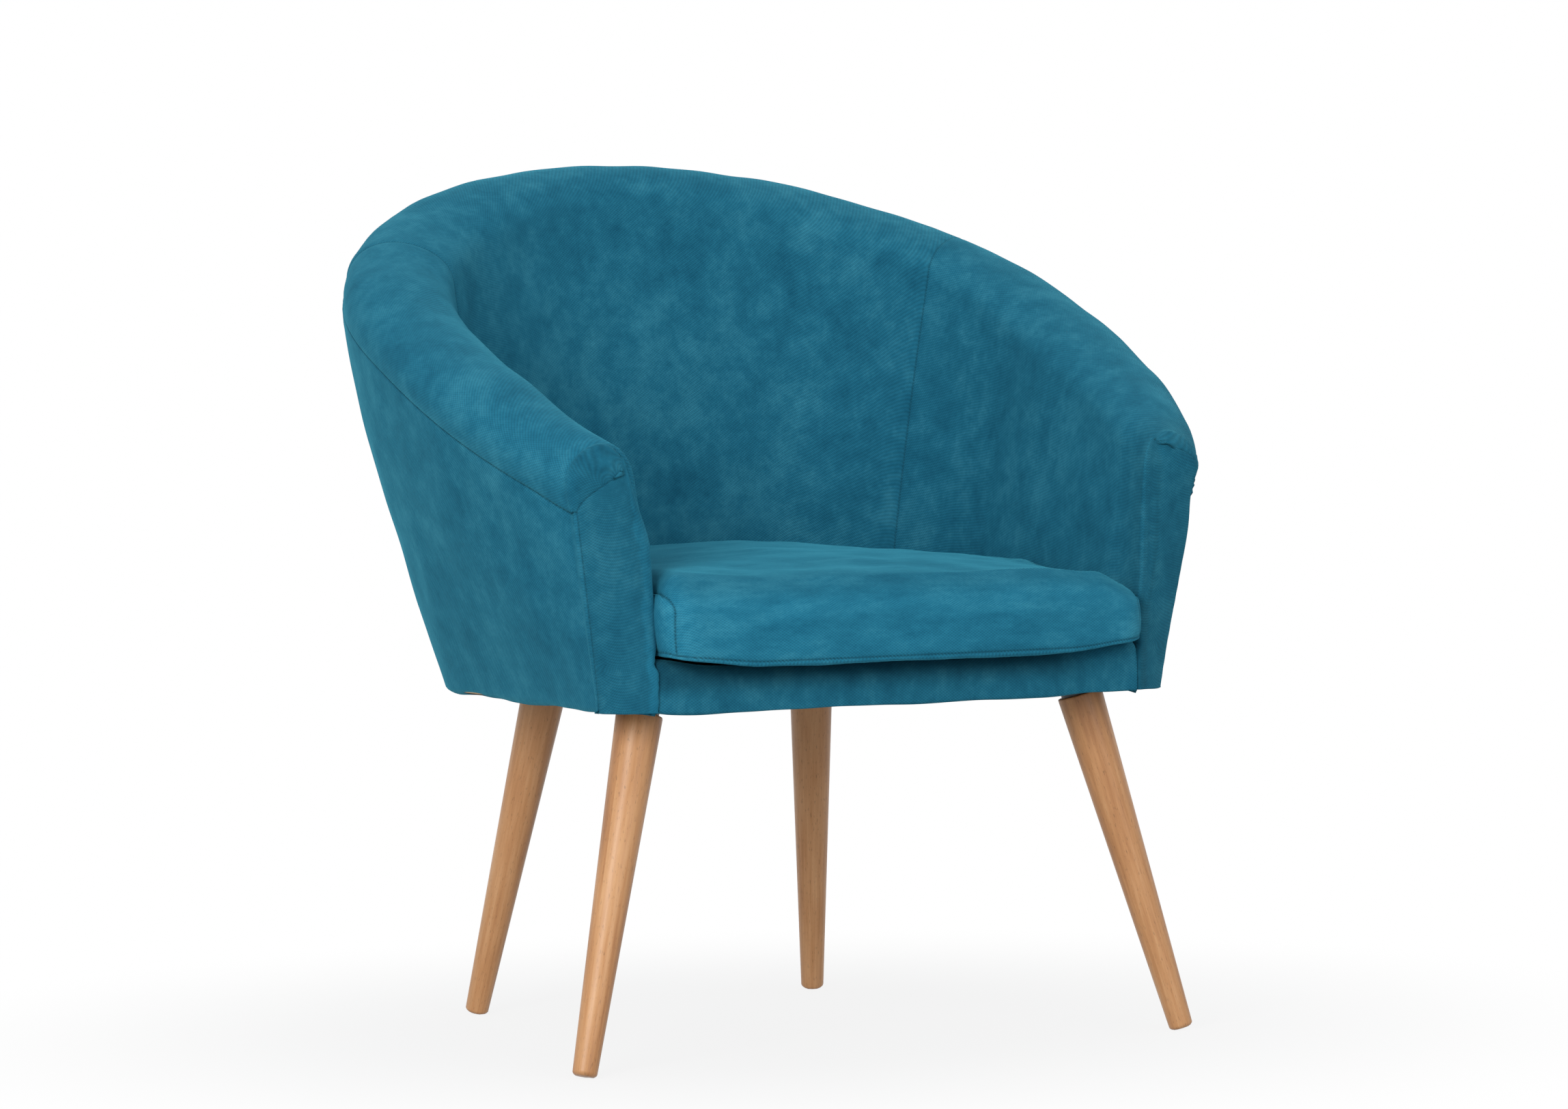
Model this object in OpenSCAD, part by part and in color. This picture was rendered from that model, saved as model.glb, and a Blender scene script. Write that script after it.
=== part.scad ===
// Tub chair: a wrap-around upholstered shell on a plywood frame, a loose seat cushion and four splayed
// round legs. Millimetres, +Z up, the chair faces -Y, origin on the floor under its middle.

/* [Overall] */
// Height of the back's crest above the floor
back_h = 806; // [740:1:960]
// Height of the arms' crest at their front ends
arm_h = 541; // [500:1:620]
// Height of the body's underside above the floor
under_h = 315; // [260:1:350]
// Height of the seat deck's top above the underside
deck_rise = 45; // [42:1:60]

/* [Plan of the rim] */
// Width over the arms at their widest
rim_w = 754; // [690:1:905]
// How far the rim reaches behind the middle of the chair
rim_back = 316; // [290:1:379]
// How far the arms' outer tips reach in front of the middle
rim_tip_front = 273; // [260:1:285]
// How far each arm's tip draws in from the widest point
rim_tip_in = 66; // [40:1:90]

/* [Plan of the underside] */
// Width of the underside
base_w = 556; // [500:1:667]
// How far the underside reaches behind the middle
base_back = 230; // [215:1:260]
// How far the underside's front corners reach in front of the middle
base_tip_front = 247.5; // [235:0.5:255]

/* [Walls] */
// Thickness of the rim's roll at the sides
roll_side_t = 99; // [85:1:118]
// Thickness of the rim's roll at the back
roll_back_t = 96; // [85:1:115]
// Thickness of the rim's roll at the arms' tips
roll_tip_t = 64; // [50:1:66]
// Thickness of the wall at the seat, at the sides
wall_side_t = 35; // [32:1:42]
// Thickness of the wall at the seat, at the back
wall_back_t = 58; // [54:1:68]
// Height of the rounded roll at the back
roll_back_rise = 44; // [36:1:50]
// Height of the rounded roll at the arms' tips
roll_tip_rise = 34; // [30:1:40]
// How far the outer side swells between its two edges
side_swell = 8; // [0:1:14]
// How far the rim's sewn seam lies below the crest at the back
seam_back_drop = 45; // [42:1:60]
// How far the rim's sewn seam lies below the crest at the arms' tips
seam_tip_drop = 56; // [45:1:62]

/* [Upholstery] */
// Thickness of the fabric covers with their backing
cover_t = 2.5; // [1.5:0.5:4]
// Thickness of the foam inside the back
foam_back_t = 26; // [20:1:30]
// Thickness of the foam inside the arms' tips
foam_tip_t = 18; // [14:1:19]
// Foam over the top of the hoop
foam_top_t = 20; // [14:1:24]
// Thickness of the padded facings on the arms' fronts
facing_swell = 4; // [1:0.5:7]
// Foam and cover in front of the front rail
front_pad_t = 17.8; // [12:0.1:22]

/* [Frame] */
// Width of the ring's rails
rail_w = 34; // [28:1:40]
// Thickness of the plywood ribs
rib_t = 15; // [9:1:21]
// Thickness of the inner and outer lining boards
lining_t = 3; // [2:0.5:4]
// Height of the hoop below the shoulder of the roll
hoop_drop = 25; // [18:1:30]
// Side of the corner blocks
block_w = 100; // [84:1:120]

/* [Seat springs and deck] */
// Number of wavy springs
spring_count = 4; // [3:1:4]
// Distance between neighbouring springs
spring_gap = 90; // [70:1:95]
// Diameter of the spring wire
wire_d = 3.8; // [3:0.1:4.2]
// Width of a spring over its loops
spring_w = 44; // [36:1:50]
// Distance between neighbouring bars of a spring
spring_pitch = 22; // [20:1:28]
// Thickness of the felt and cloth deck
deck_t = 7; // [5:0.5:8]

/* [Seat cushion] */
// Width of the cushion
cushion_w = 473; // [440:1:474]
// How far the cushion reaches in front of the middle
cushion_front = 316; // [306:1:330]
// Height of the cushion's side boxing
boxing_h = 54; // [45:1:65]
// Height of the crown's top above the cushion's underside
crown_h = 89; // [75:1:110]
// Radius of the cushion's front corners in plan
cushion_corner_r = 28; // [20:1:45]

/* [Legs] */
// Diameter of a leg at its top
leg_top_d = 40; // [34:0.5:46]
// Diameter of a leg at its foot
leg_foot_d = 20.4; // [17:0.1:26]
// Lean of each leg from upright
leg_tilt = 16.1; // [10:0.1:19]
// Direction in which the front legs splay, from the side towards the front
front_splay = 27.4; // [20:0.1:45]
// Direction in which the rear legs splay, from the side towards the back
rear_splay = 64.5; // [45:0.1:70]
// Distance from a front leg's top to the underside's side edge
front_leg_inset = 58.5; // [54:0.5:70]
// Distance from a front leg's top back to the underside's front corner
front_leg_setback = 41.9; // [38:0.1:60]
// Distance between the rear legs' tops
rear_leg_spread = 281; // [240:1:300]
// Distance from a rear leg's top to the underside's rear edge
rear_leg_inset = 56; // [54:0.5:70]

/* [Leg plates] */
// Side of the square steel plates
plate_w = 76; // [70:1:84]
// Thickness of the steel plates
plate_t = 2.2; // [1.8:0.1:3]
// Distance between neighbouring screw holes of a plate
screw_span = 58; // [52:1:66]
// Diameter of the hanger bolts
bolt_d = 8; // [6:1:10]
// Diameter of the plate screws
screw_d = 4; // [3:0.5:5]

/* [Hidden] */

// Clearances between pieces that only touch, and between a flat piece and a curved one
fit_gap = 0.3;
rib_gap = 1.2;
// Overrun of cuts
over = 1;
// Smoothness of round pieces
$fn = 48;

// Shares of the way round the tub, from 0 at the middle of the back to 1 at the arms' tips
side_share = 0.62;
tip_share = 0.985;
post_from_share = 0.93;
rib_shares = [0.72, 0.5, 0.25];
// Roundness of the plan curves: 1 is an ellipse, lower is squarer
rim_round_share = 0.872;
base_round_share = 0.707;
inner_round_share = 0.885;
well_round_share = 0.75;
// How far the crest dips below the slanting plane through the arms' tips and the back, and how
// closely the dip keeps to the back
dish_share = 0.6;
dish_power = 6;
// How late the sides draw in towards the arms' tips
draw_power = 2.5;
// The outer side's swell peaks above the middle of its height, and dies out towards the arms' tips
swell_power = 1.6;
swell_fade_power = 4;
// How far the roll's crest leans towards the outside at the back and the inside at the tips
roll_back_lean_share = -0.154;
roll_tip_lean_share = 0.144;

// Plan details of the rim, the underside and the inner faces
rim_mid = 5;
base_mid = 6;
inner_mid = -3;
base_tip_flare = 1.5;
inner_tip_more = 6;
well_tip_in = 1;
well_tip_more = 32;
well_tip_front = base_tip_front + well_tip_more;

// Levels: the seat's deck lies on the springs, their clips on the ring of rails
clip_wall = 1.2;
spring_lift = fit_gap + clip_wall + wire_d / 2;
under_gap = 0.5;
deck_z = under_h + deck_rise;
deck_low_z = deck_z - deck_t;
spring_z = deck_low_z - fit_gap / 2 - spring_lift;
ring_top_z = spring_z - spring_lift;
ring_low_z = under_h + cover_t + under_gap;
ring_t = ring_top_z - ring_low_z;
lining_low_z = under_h + cover_t + fit_gap;

// Offsets into the wall, from its outer face and from its inner face
lining_out = cover_t + fit_gap;
frame_out = lining_out + lining_t + rib_gap;
function foam_t(s) = mix(foam_back_t, foam_tip_t, abs(s));
function lining_in(s) = foam_t(s) + fit_gap;
function frame_in(s) = lining_in(s) + lining_t + rib_gap;

// Counts of the faceted surfaces
tub_steps = 48;
panel_steps = 18;
arm_panel_steps = (tub_steps - panel_steps) / 2;
panel_share = tip_share * panel_steps / tub_steps;
roll_steps = 8;
wall_steps = 4;
rib_steps = 4;

// Plan curves: half width, reach to the back, tip's x and y, y of the widest point, roundness
rim_plan = [rim_w / 2, rim_back - rim_mid, rim_w / 2 - rim_tip_in, -rim_tip_front, rim_mid, rim_round_share];
base_plan = [base_w / 2, base_back - base_mid, base_w / 2 + base_tip_flare, -base_tip_front, base_mid,
             base_round_share];
inner_plan = [rim_w / 2 - roll_side_t, rim_back - roll_back_t - inner_mid, rim_w / 2 - rim_tip_in - roll_tip_t,
              -(rim_tip_front + inner_tip_more), inner_mid, inner_round_share];
well_plan = [base_w / 2 - wall_side_t, base_back - wall_back_t - inner_mid,
             base_w / 2 - wall_side_t - well_tip_in, -well_tip_front, inner_mid, well_round_share];

function mix(a, b, t) = a + (b - a) * t;
function unit(v) = v / norm(v);
function turned(v) = [-v[1], v[0]];
function power(v, p) = sign(v) * pow(abs(v), p);
function at_height(xy, z) = [xy[0], xy[1], z];
function flat(p) = [p[0], p[1]];
function share_line(n, low, high) = [for (k = [0:n]) mix(low, high, k / n)];

// A point of a plan curve: a rounded back, then near-straight sides to the tips
function plan_point(c, s) =
  let (t = abs(s), turn = 90 * min(t / side_share, 1), u = max(0, (t - side_share) / (1 - side_share)))
  t < side_share
  ? [sign(s) * c[0] * power(sin(turn), c[5]), c[4] + c[1] * power(cos(turn), c[5])]
  : [sign(s) * (c[0] - (c[0] - c[2]) * pow(u, draw_power)), c[4] + (c[3] - c[4]) * u];
normal_step_share = 0.01;
function plan_normal(s) =
  unit(turned(plan_point(rim_plan, s + normal_step_share) - plan_point(rim_plan, s - normal_step_share)));

// Heights that change round the tub
function crest(s) =
  let (v = max(0, plan_point(rim_plan, s)[1] + rim_tip_front) / (rim_back + rim_tip_front))
  arm_h + (back_h - arm_h) * (v - dish_share * pow(v, dish_power) * (1 - v));
function roll_rise(s) = mix(roll_back_rise, roll_tip_rise, abs(s));
function shoulder(s) = crest(s) - roll_rise(s);
function roll_lean(s) = mix(roll_back_lean_share, roll_tip_lean_share, pow(s, 4));
function seam_z(s) = crest(s) - mix(seam_back_drop, seam_tip_drop, abs(s));
function hoop_z(s) = shoulder(s) - hoop_drop;
// Lowest level of the hoop over the width of a rib
rib_reach_share = 0.04;
function hoop_low_z(s) = min(hoop_z(s - rib_reach_share), hoop_z(s + rib_reach_share), hoop_z(s));

// The wall's two faces at a height, and points a distance in from each
function wall_share(s, z) = (z - under_h) / (shoulder(s) - under_h);
function outer_face(s, z) =
  let (q = wall_share(s, z))
  mix(plan_point(base_plan, s), plan_point(rim_plan, s), q)
  + plan_normal(s) * side_swell * max(0, 1 - pow(abs(s), swell_fade_power))
    * sin(180 * pow(min(max(q, 0), 1), swell_power));
function inner_face(s, z) =
  mix(plan_point(well_plan, s), plan_point(inner_plan, s), max(0, (z - deck_z) / (shoulder(s) - deck_z)));
function from_outer(s, z, d) =
  let (a = outer_face(s, z), b = inner_face(s, z)) at_height(a + unit(b - a) * d, z);
function from_inner(s, z, d) =
  let (a = outer_face(s, z), b = inner_face(s, z)) at_height(b + unit(a - b) * d, z);
function roll_point(s, turn, out, in, top) =
  let (z = shoulder(s), xy = mix(from_outer(s, z, out), from_inner(s, z, in), (1 - cos(turn)) / 2))
  at_height(xy, z + (roll_rise(s) - top) * sin(turn) * (1 - roll_lean(s) * cos(turn)));

// Section of a layer that goes over the rim, from the outer seam to a level inside the tub
function rim_layer(s, out, in, top, low) = concat(
  [from_outer(s, seam_z(s), out)],
  [for (k = [0:roll_steps]) roll_point(s, 180 * k / roll_steps, out, in, top)],
  [from_inner(s, low, in)]);

// Two triangles of a four-cornered face, cut along one diagonal or the other
function split(a, b, c, d, flip) = flip ? [[a, b, c], [a, c, d]] : [[a, b, d], [d, b, c]];

// Solid between two rows of points per station: row a on one face, row b on the other. The faces
// are cut along matching diagonals, so that a sheet keeps its thickness, mirrored left and right
module swept(a, b) {
  n = len(a);
  m = len(a[0]);
  points = [for (i = [0:n - 1]) for (p = concat(a[i], [for (k = [m - 1:-1:0]) b[i][k]])) p];
  function at(i, k) = i * 2 * m + (k % (2 * m));
  function leftward(i) = a[i][0][0] + a[i + 1][0][0] < 0;
  function far(k) = k >= m && k < 2 * m - 1;
  sides = [for (i = [0:n - 2]) for (k = [0:2 * m - 1])
           for (f = split(at(i, k), at(i + 1, k), at(i + 1, k + 1), at(i, k + 1), leftward(i) != far(k))) f];
  start = [for (k = [0:m - 2])
           for (f = [[at(0, k), at(0, k + 1), at(0, 2 * m - 1 - k)],
                     [at(0, k + 1), at(0, 2 * m - 2 - k), at(0, 2 * m - 1 - k)]]) f];
  end = [for (k = [0:m - 2])
         for (f = [[at(n - 1, k), at(n - 1, 2 * m - 1 - k), at(n - 1, k + 1)],
                   [at(n - 1, k + 1), at(n - 1, 2 * m - 1 - k), at(n - 1, 2 * m - 2 - k)]]) f];
  polyhedron(points, concat(sides, start, end));
}

// Frame under the seat
ring_line = share_line(tub_steps, -tip_share, tip_share);
function ring_edge(s, d) = flat(from_outer(s, ring_low_z, d));
front_recess = 1;
front_y = -(well_tip_front - front_recess);
front_rail_y = front_y + front_pad_t + fit_gap;
rail_end_x = ring_edge(post_from_share, frame_out + rail_w)[0] - fit_gap;

module rail(from, to, steps) {
  line = share_line(steps, from, to);
  difference() {
    translate([0, 0, ring_low_z])
      linear_extrude(height = ring_t)
        polygon(concat([for (s = line) ring_edge(s, frame_out)],
                       [for (k = [steps:-1:0]) ring_edge(line[k], frame_out + rail_w)]));
    screw_holes();
  }
}

joint_share = 0.002;
module side_rail_left() color("burlywood") rail(-tip_share, -panel_share - joint_share, arm_panel_steps);
module side_rail_right() color("burlywood") rail(panel_share + joint_share, tip_share, arm_panel_steps);
module back_rail() color("tan") rail(-panel_share, panel_share, panel_steps);

module front_rail() color("tan") difference() {
  translate([-rail_end_x, front_rail_y, ring_low_z]) cube([2 * rail_end_x, rail_w, ring_t]);
  screw_holes();
}

// Room inside the ring, in plan
module ring_room()
  polygon(concat([for (s = ring_line) if (ring_edge(s, frame_out + rail_w)[1] > front_rail_y + rail_w)
                  ring_edge(s, frame_out + rail_w + fit_gap)],
                 [[rail_end_x, front_rail_y + rail_w + fit_gap], [-rail_end_x, front_rail_y + rail_w + fit_gap]]));

// Legs: where each one's axis meets the underside, and its splay
function base_edge_y(x) =
  base_mid + (base_back - base_mid) * power(1 - power(x / (base_w / 2), 2 / base_round_share), base_round_share / 2);
front_leg_x = base_w / 2 + base_tip_flare - front_leg_inset;
front_leg_y = -(base_tip_front - front_leg_setback);
rear_leg_x = rear_leg_spread / 2;
rear_leg_y = base_edge_y(rear_leg_x) - rear_leg_inset;
legs = [[[-front_leg_x, front_leg_y], 180 + front_splay], [[front_leg_x, front_leg_y], -front_splay],
        [[-rear_leg_x, rear_leg_y], 180 - rear_splay], [[rear_leg_x, rear_leg_y], rear_splay]];

dust_t = 1;
plate_top_z = ring_low_z - dust_t - 2 * fit_gap;
plate_low_z = plate_top_z - plate_t;
// Along a leg's axis, measured from the underside: the leg's top face, and its foot
leg_top_along = (under_h - plate_low_z + leg_top_d / 2 * sin(leg_tilt) + fit_gap) / cos(leg_tilt);
foot_trim = 1;
foot_chamfer = 1.2;
foot_low = leg_foot_d / 2 * sin(leg_tilt) - foot_trim;
leg_foot_along = (under_h - foot_low) / cos(leg_tilt);
bolt_up = 27;
bolt_down = 42;
bolt_fit = 0.05;
bolt_clear = 1;
screw_len = 20;
head_d = 8;
head_h = 2;
boss_wall = 13;

// Children are placed with +Z up along the axis of leg i, from the point where it meets the underside
module on_leg(i) translate(at_height(legs[i][0], under_h)) rotate([0, -leg_tilt, legs[i][1]]) children();
module on_plate(i) translate(at_height(legs[i][0], plate_low_z)) rotate(legs[i][1]) children();
module screw_places(i) on_plate(i)
  for (x = [-1, 1]) for (y = [-1, 1]) translate([x * screw_span / 2, y * screw_span / 2, 0]) children();

module screw_holes() for (i = [0:3]) screw_places(i) cylinder(d = screw_d + 4 * bolt_fit, h = under_h);

module leg(i) color("peru") difference() {
  on_leg(i) rotate_extrude() polygon([
    [0, -leg_foot_along], [leg_foot_d / 2 - foot_chamfer, -leg_foot_along],
    [leg_foot_d / 2, -leg_foot_along + foot_chamfer], [leg_top_d / 2, -leg_top_along], [0, -leg_top_along]]);
  on_leg(i) translate([0, 0, -leg_top_along - bolt_down - over])
    cylinder(d = bolt_d + 2 * bolt_fit, h = bolt_down + 2 * over);
  translate(at_height(legs[i][0] * 2, -leg_foot_d)) cube([under_h * 2, under_h * 2, leg_foot_d * 2], center = true);
}

module leg_plate(i) color("dimgray") difference() {
  union() {
    on_plate(i) translate([0, 0, plate_t / 2]) cube([plate_w, plate_w, plate_t], center = true);
    intersection() {
      on_leg(i) translate([0, 0, -leg_top_along + fit_gap]) cylinder(d = bolt_d + 2 * boss_wall, h = leg_top_d);
      translate(at_height(legs[i][0], plate_low_z - leg_top_d / 2 + plate_t / 2))
        cube([leg_top_d * 2, leg_top_d * 2, leg_top_d], center = true);
    }
  }
  on_leg(i) translate([0, 0, -leg_top_along - over]) cylinder(d = bolt_d + 2 * bolt_fit, h = leg_top_d * 2);
  screw_places(i) translate([0, 0, -over]) cylinder(d = screw_d + 4 * bolt_fit, h = plate_t + 2 * over);
}

module corner_block(i) color("wheat") difference() {
  translate([0, 0, ring_low_z]) linear_extrude(height = ring_t) intersection() {
    ring_room();
    translate(legs[i][0]) rotate(legs[i][1]) square(block_w, center = true);
  }
  on_leg(i) translate([0, 0, -leg_top_along]) cylinder(d = bolt_d + 2 * bolt_clear, h = under_h);
  screw_holes();
}

module hanger_bolts() color("silver") for (i = [0:3])
  on_leg(i) translate([0, 0, -leg_top_along - bolt_down + fit_gap]) cylinder(d = bolt_d, h = bolt_down + bolt_up);

module plate_screws() color("silver") for (i = [0:3]) screw_places(i) {
  translate([0, 0, -head_h]) cylinder(d = head_d, h = head_h);
  translate([0, 0, -head_h / 2]) cylinder(d = screw_d, h = screw_len);
}

// Ribs: flat upright boards across the wall. Each follows the two faces in its own upright plane
newton_steps = 5;
function rib_middle(s) = let (z = (ring_top_z + hoop_z(s)) / 2) (outer_face(s, z) + inner_face(s, z)) / 2;
function rib_along(s) = let (z = (ring_top_z + hoop_z(s)) / 2) unit(inner_face(s, z) - outer_face(s, z));
function aside(p, middle, across) = (p[0] - middle[0]) * across[0] + (p[1] - middle[1]) * across[1];
// The share at which a face crosses the plane that lies shift to one side of the rib's middle
function crossing(s, z, middle, across, shift, outside, left = newton_steps) =
  left == 0 ? s :
  let (face = function (v) outside ? from_outer(v, z, frame_out) : from_inner(v, z, frame_in(v)),
       here = aside(face(s), middle, across) - shift,
       ahead = aside(face(s + normal_step_share), middle, across) - shift,
       next = s - here * normal_step_share / (ahead - here))
  crossing(next, z, middle, across, shift, outside, left - 1);
module rib(s) {
  middle = rib_middle(s);
  across = turned(rib_along(s));
  function face(z, side, outside) =
    let (v = crossing(s, z, middle, across, side * rib_t / 2, outside))
    outside ? from_outer(v, z, frame_out) : from_inner(v, z, frame_in(v));
  function rows(side) = [for (z = share_line(rib_steps, ring_top_z, hoop_low_z(s) - fit_gap))
                         [face(z, side, true), face(z, side, false)]];
  color("tan") swept(rows(-1), rows(1));
}

// Posts behind the arms' facings
post_steps = 3;
module post(side) {
  line = side > 0 ? share_line(post_steps, post_from_share, tip_share)
                  : share_line(post_steps, -tip_share, -post_from_share);
  function levels(s) = share_line(rib_steps, ring_top_z, hoop_z(s) - fit_gap);
  swept([for (s = line) [for (z = levels(s)) from_outer(s, z, frame_out)]],
        [for (s = line) [for (z = levels(s)) from_inner(s, z, frame_in(s))]]);
}
module arm_post_left() color("burlywood") post(-1);
module arm_post_right() color("burlywood") post(1);

module top_hoop() color("burlywood") swept(
  [for (s = ring_line) [for (k = [0:roll_steps])
    roll_point(s, 180 * k / roll_steps, frame_out, lining_in(s), foam_top_t + fit_gap)]],
  [for (s = ring_line) [for (k = [0:roll_steps])
    at_height(mix(from_outer(s, hoop_z(s), frame_out), from_inner(s, hoop_z(s), lining_in(s)), k / roll_steps),
              hoop_z(s))]]);

// Lining boards over the outside and the inside of the ribs
function outer_levels(s, low, gap) = share_line(wall_steps, low, seam_z(s) - gap);
module outer_lining() color("saddlebrown") swept(
  [for (s = ring_line) [for (z = outer_levels(s, lining_low_z, over)) from_outer(s, z, lining_out)]],
  [for (s = ring_line) [for (z = outer_levels(s, lining_low_z, over)) from_outer(s, z, lining_out + lining_t)]]);
module inner_lining() color("saddlebrown") swept(
  [for (s = ring_line) [for (z = [hoop_z(s) - fit_gap, deck_low_z]) from_inner(s, z, lining_in(s))]],
  [for (s = ring_line) [for (z = [hoop_z(s) - fit_gap, deck_low_z]) from_inner(s, z, lining_in(s) + lining_t)]]);

// Wavy springs from the front rail to the back rail, with a clip at each end
clip_w = 14;
clip_foot = 9;
clip_back = 4;
front_clip_y = front_rail_y + rail_w / 2 + clip_back;
bend_steps = 3;
wire_sides = 6;
function spring_x(i) = (i - (spring_count - 1) / 2) * spring_gap;
function back_clip_y(i) = base_edge_y(abs(spring_x(i)) + spring_w / 2) - frame_out - rail_w / 2;
// Bars run across in turn, joined by half rounds at alternate sides
function spring_path(i) =
  let (length = back_clip_y(i) - front_clip_y, bars = floor(length / spring_pitch), pitch = length / bars,
       reach = spring_w / 2 - pitch / 2)
  concat([[-reach, 0]],
         [for (b = [0:bars - 1]) let (side = b % 2 == 0 ? 1 : -1)
          for (k = [0:bend_steps]) let (turn = 180 * k / bend_steps)
          [side * (reach + pitch / 2 * sin(turn)), pitch * (b + (1 - cos(turn)) / 2)]],
         [[(bars % 2 == 0 ? 1 : -1) * reach, length]]);
module wire(path) {
  n = len(path);
  function along(k) = unit(path[min(k + 1, n - 1)] - path[max(k - 1, 0)]);
  rings = [for (k = [0:n - 1]) for (j = [0:wire_sides - 1])
           let (w = turned(along(k)) * cos(360 * j / wire_sides) * wire_d / 2)
           [path[k][0] + w[0], path[k][1] + w[1], sin(360 * j / wire_sides) * wire_d / 2]];
  function at(k, j) = k * wire_sides + j % wire_sides;
  polyhedron(rings, concat(
    [[for (j = [0:wire_sides - 1]) at(0, j)]],
    [for (k = [0:n - 2]) for (j = [0:wire_sides - 1])
     for (f = [[at(k, j), at(k + 1, j), at(k, j + 1)], [at(k, j + 1), at(k + 1, j), at(k + 1, j + 1)]]) f],
    [[for (j = [wire_sides - 1:-1:0]) at(n - 1, j)]]));
}
module spring(i) color("gray")
  translate([spring_x(i), front_clip_y, spring_z]) wire(spring_path(i));

module clip() rotate([90, 0, 90]) linear_extrude(height = clip_w, center = true) difference() {
  union() {
    circle(r = spring_lift);
    translate([0, -spring_lift]) square([clip_foot, clip_wall]);
  }
  circle(r = spring_lift - clip_wall);
  translate([-2 * spring_lift, -wire_d / 4]) square(2 * spring_lift);
}
module spring_clips() color("darkgray") for (i = [0:spring_count - 1]) {
  translate([spring_x(i), front_clip_y, spring_z]) clip();
  translate([spring_x(i), back_clip_y(i), spring_z]) mirror([0, 1, 0]) clip();
}

module seat_deck() color("linen") translate([0, 0, deck_low_z]) linear_extrude(height = deck_t)
  polygon([for (s = ring_line) let (p = from_inner(s, deck_z, 0), n = plan_normal(s))
           [p[0] - n[0] * fit_gap * 2, max(p[1] - n[1] * fit_gap * 2, front_rail_y + rail_w / 2)]]);

// Foam and covers of the tub
module tub_foam() color("khaki")
  swept([for (s = ring_line) rim_layer(s, cover_t + fit_gap, cover_t + fit_gap, cover_t + fit_gap, deck_low_z)],
        [for (s = ring_line) rim_layer(s, frame_out - fit_gap, foam_t(s), foam_top_t, deck_low_z)]);
module inner_cover(from, to, steps) {
  line = share_line(steps, from, to);
  color("teal") swept([for (s = line) rim_layer(s, 0, 0, 0, deck_low_z)],
                      [for (s = line) rim_layer(s, cover_t, cover_t, cover_t, deck_low_z)]);
}
seam_gap_share = 0.0005;
module inner_cover_left() inner_cover(-tip_share, -panel_share - seam_gap_share, arm_panel_steps);
module inner_cover_back() inner_cover(-panel_share, panel_share, panel_steps);
module inner_cover_right() inner_cover(panel_share + seam_gap_share, tip_share, arm_panel_steps);

// The outer cover is turned in under the ring, where the dust cover meets it
turn_in = 6.8;
module outer_cover() color("teal") swept(
  [for (s = ring_line) concat([from_outer(s, under_h, turn_in)],
                              [for (z = outer_levels(s, under_h, fit_gap)) from_outer(s, z, 0)])],
  [for (s = ring_line) concat([from_outer(s, under_h + cover_t, turn_in)],
                              [for (z = outer_levels(s, under_h + cover_t, fit_gap)) from_outer(s, z, cover_t)])]);

// Padded facing that closes the front of an arm
facing_levels = 3;
facing_turns = 4;
facing_edge = 9;
facing_turn = 80;
function facing_row(s, inset, far) =
  let (turns = share_line(facing_turns - 1, 0, facing_turn),
       levels = share_line(facing_levels, under_h + inset, shoulder(s)))
  far ? concat([for (k = [0:facing_levels - 1]) from_inner(s, levels[k], inset)],
               [for (a = turns) roll_point(s, 180 - a, inset, inset, inset)])
      : concat([for (k = [0:facing_levels - 1]) from_outer(s, levels[k], inset)],
               [for (a = turns) roll_point(s, a, inset, inset, inset)]);
module facing(side) {
  push = [0, -facing_swell, 0];
  line = [tip_share + joint_share, 1 - joint_share, 1];
  insets = [0, 0, facing_edge];
  pushes = [0, 0, 1];
  order = side > 0 ? [0, 1, 2] : [2, 1, 0];
  function row(far) = [for (k = order) [for (p = facing_row(side * line[k], insets[k], far)) p + push * pushes[k]]];
  swept(row(false), row(true));
}
module arm_facing_left() color("teal") facing(-1);
module arm_facing_right() color("teal") facing(1);

// Padding and cover of the front rail, between the two facings
border_end_x = plan_point(well_plan, 1)[0] - 2 * fit_gap;
border_r = 4;
border_low_r = 1.5;
border_reach = rail_w / 2;
module along_front() rotate([90, 0, 90]) linear_extrude(height = 2 * border_end_x, center = true) children();
// Section of the border, drawn in from its front, top and underside by inset, with a rounded top edge
module border_section(inset, r, low) difference() {
  union() {
    translate([front_y + inset, low]) square([front_pad_t + border_reach - inset, deck_z - inset - r - low]);
    translate([front_y + inset + r, low]) square([front_pad_t + border_reach - inset - r, deck_z - inset - low]);
    translate([front_y + inset + r, deck_z - inset - r]) circle(r = r);
  }
}
module front_foam() color("khaki") along_front() difference() {
  border_section(cover_t + fit_gap, border_low_r, ring_low_z);
  translate([front_rail_y - fit_gap, ring_low_z - over])
    square([front_pad_t + rail_w, ring_t + over + fit_gap]);
}
module front_cover() color("teal") along_front() difference() {
  border_section(0, border_r, under_h);
  border_section(cover_t, border_low_r, under_h - over);
  translate([front_y + front_pad_t, under_h - over]) square([rail_w, deck_rise - cover_t + over]);
}

dust_edge = turn_in + fit_gap;
module dust_cover() color("black") difference() {
  translate([0, 0, plate_top_z + fit_gap]) linear_extrude(height = dust_t)
    polygon([for (s = ring_line) flat(from_outer(s, under_h, dust_edge))]);
  for (i = [0:3])
    on_leg(i) translate([0, 0, -leg_top_along]) cylinder(d = bolt_d + 2 * bolt_clear, h = under_h);
  screw_holes();
}

// Seat cushion: boxed sides, and a crowned top panel that rolls down over the front
cushion_gap = 4;
cushion_z = deck_z + fit_gap;
cushion_mid = inner_mid;
cushion_back = base_back - wall_back_t - cushion_gap;
front_bow = 6;
side_draw = 2;
soft_edge = 13;
corner_steps = 4;
front_steps = 5;
side_steps = 3;
rear_steps = 7;
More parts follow.
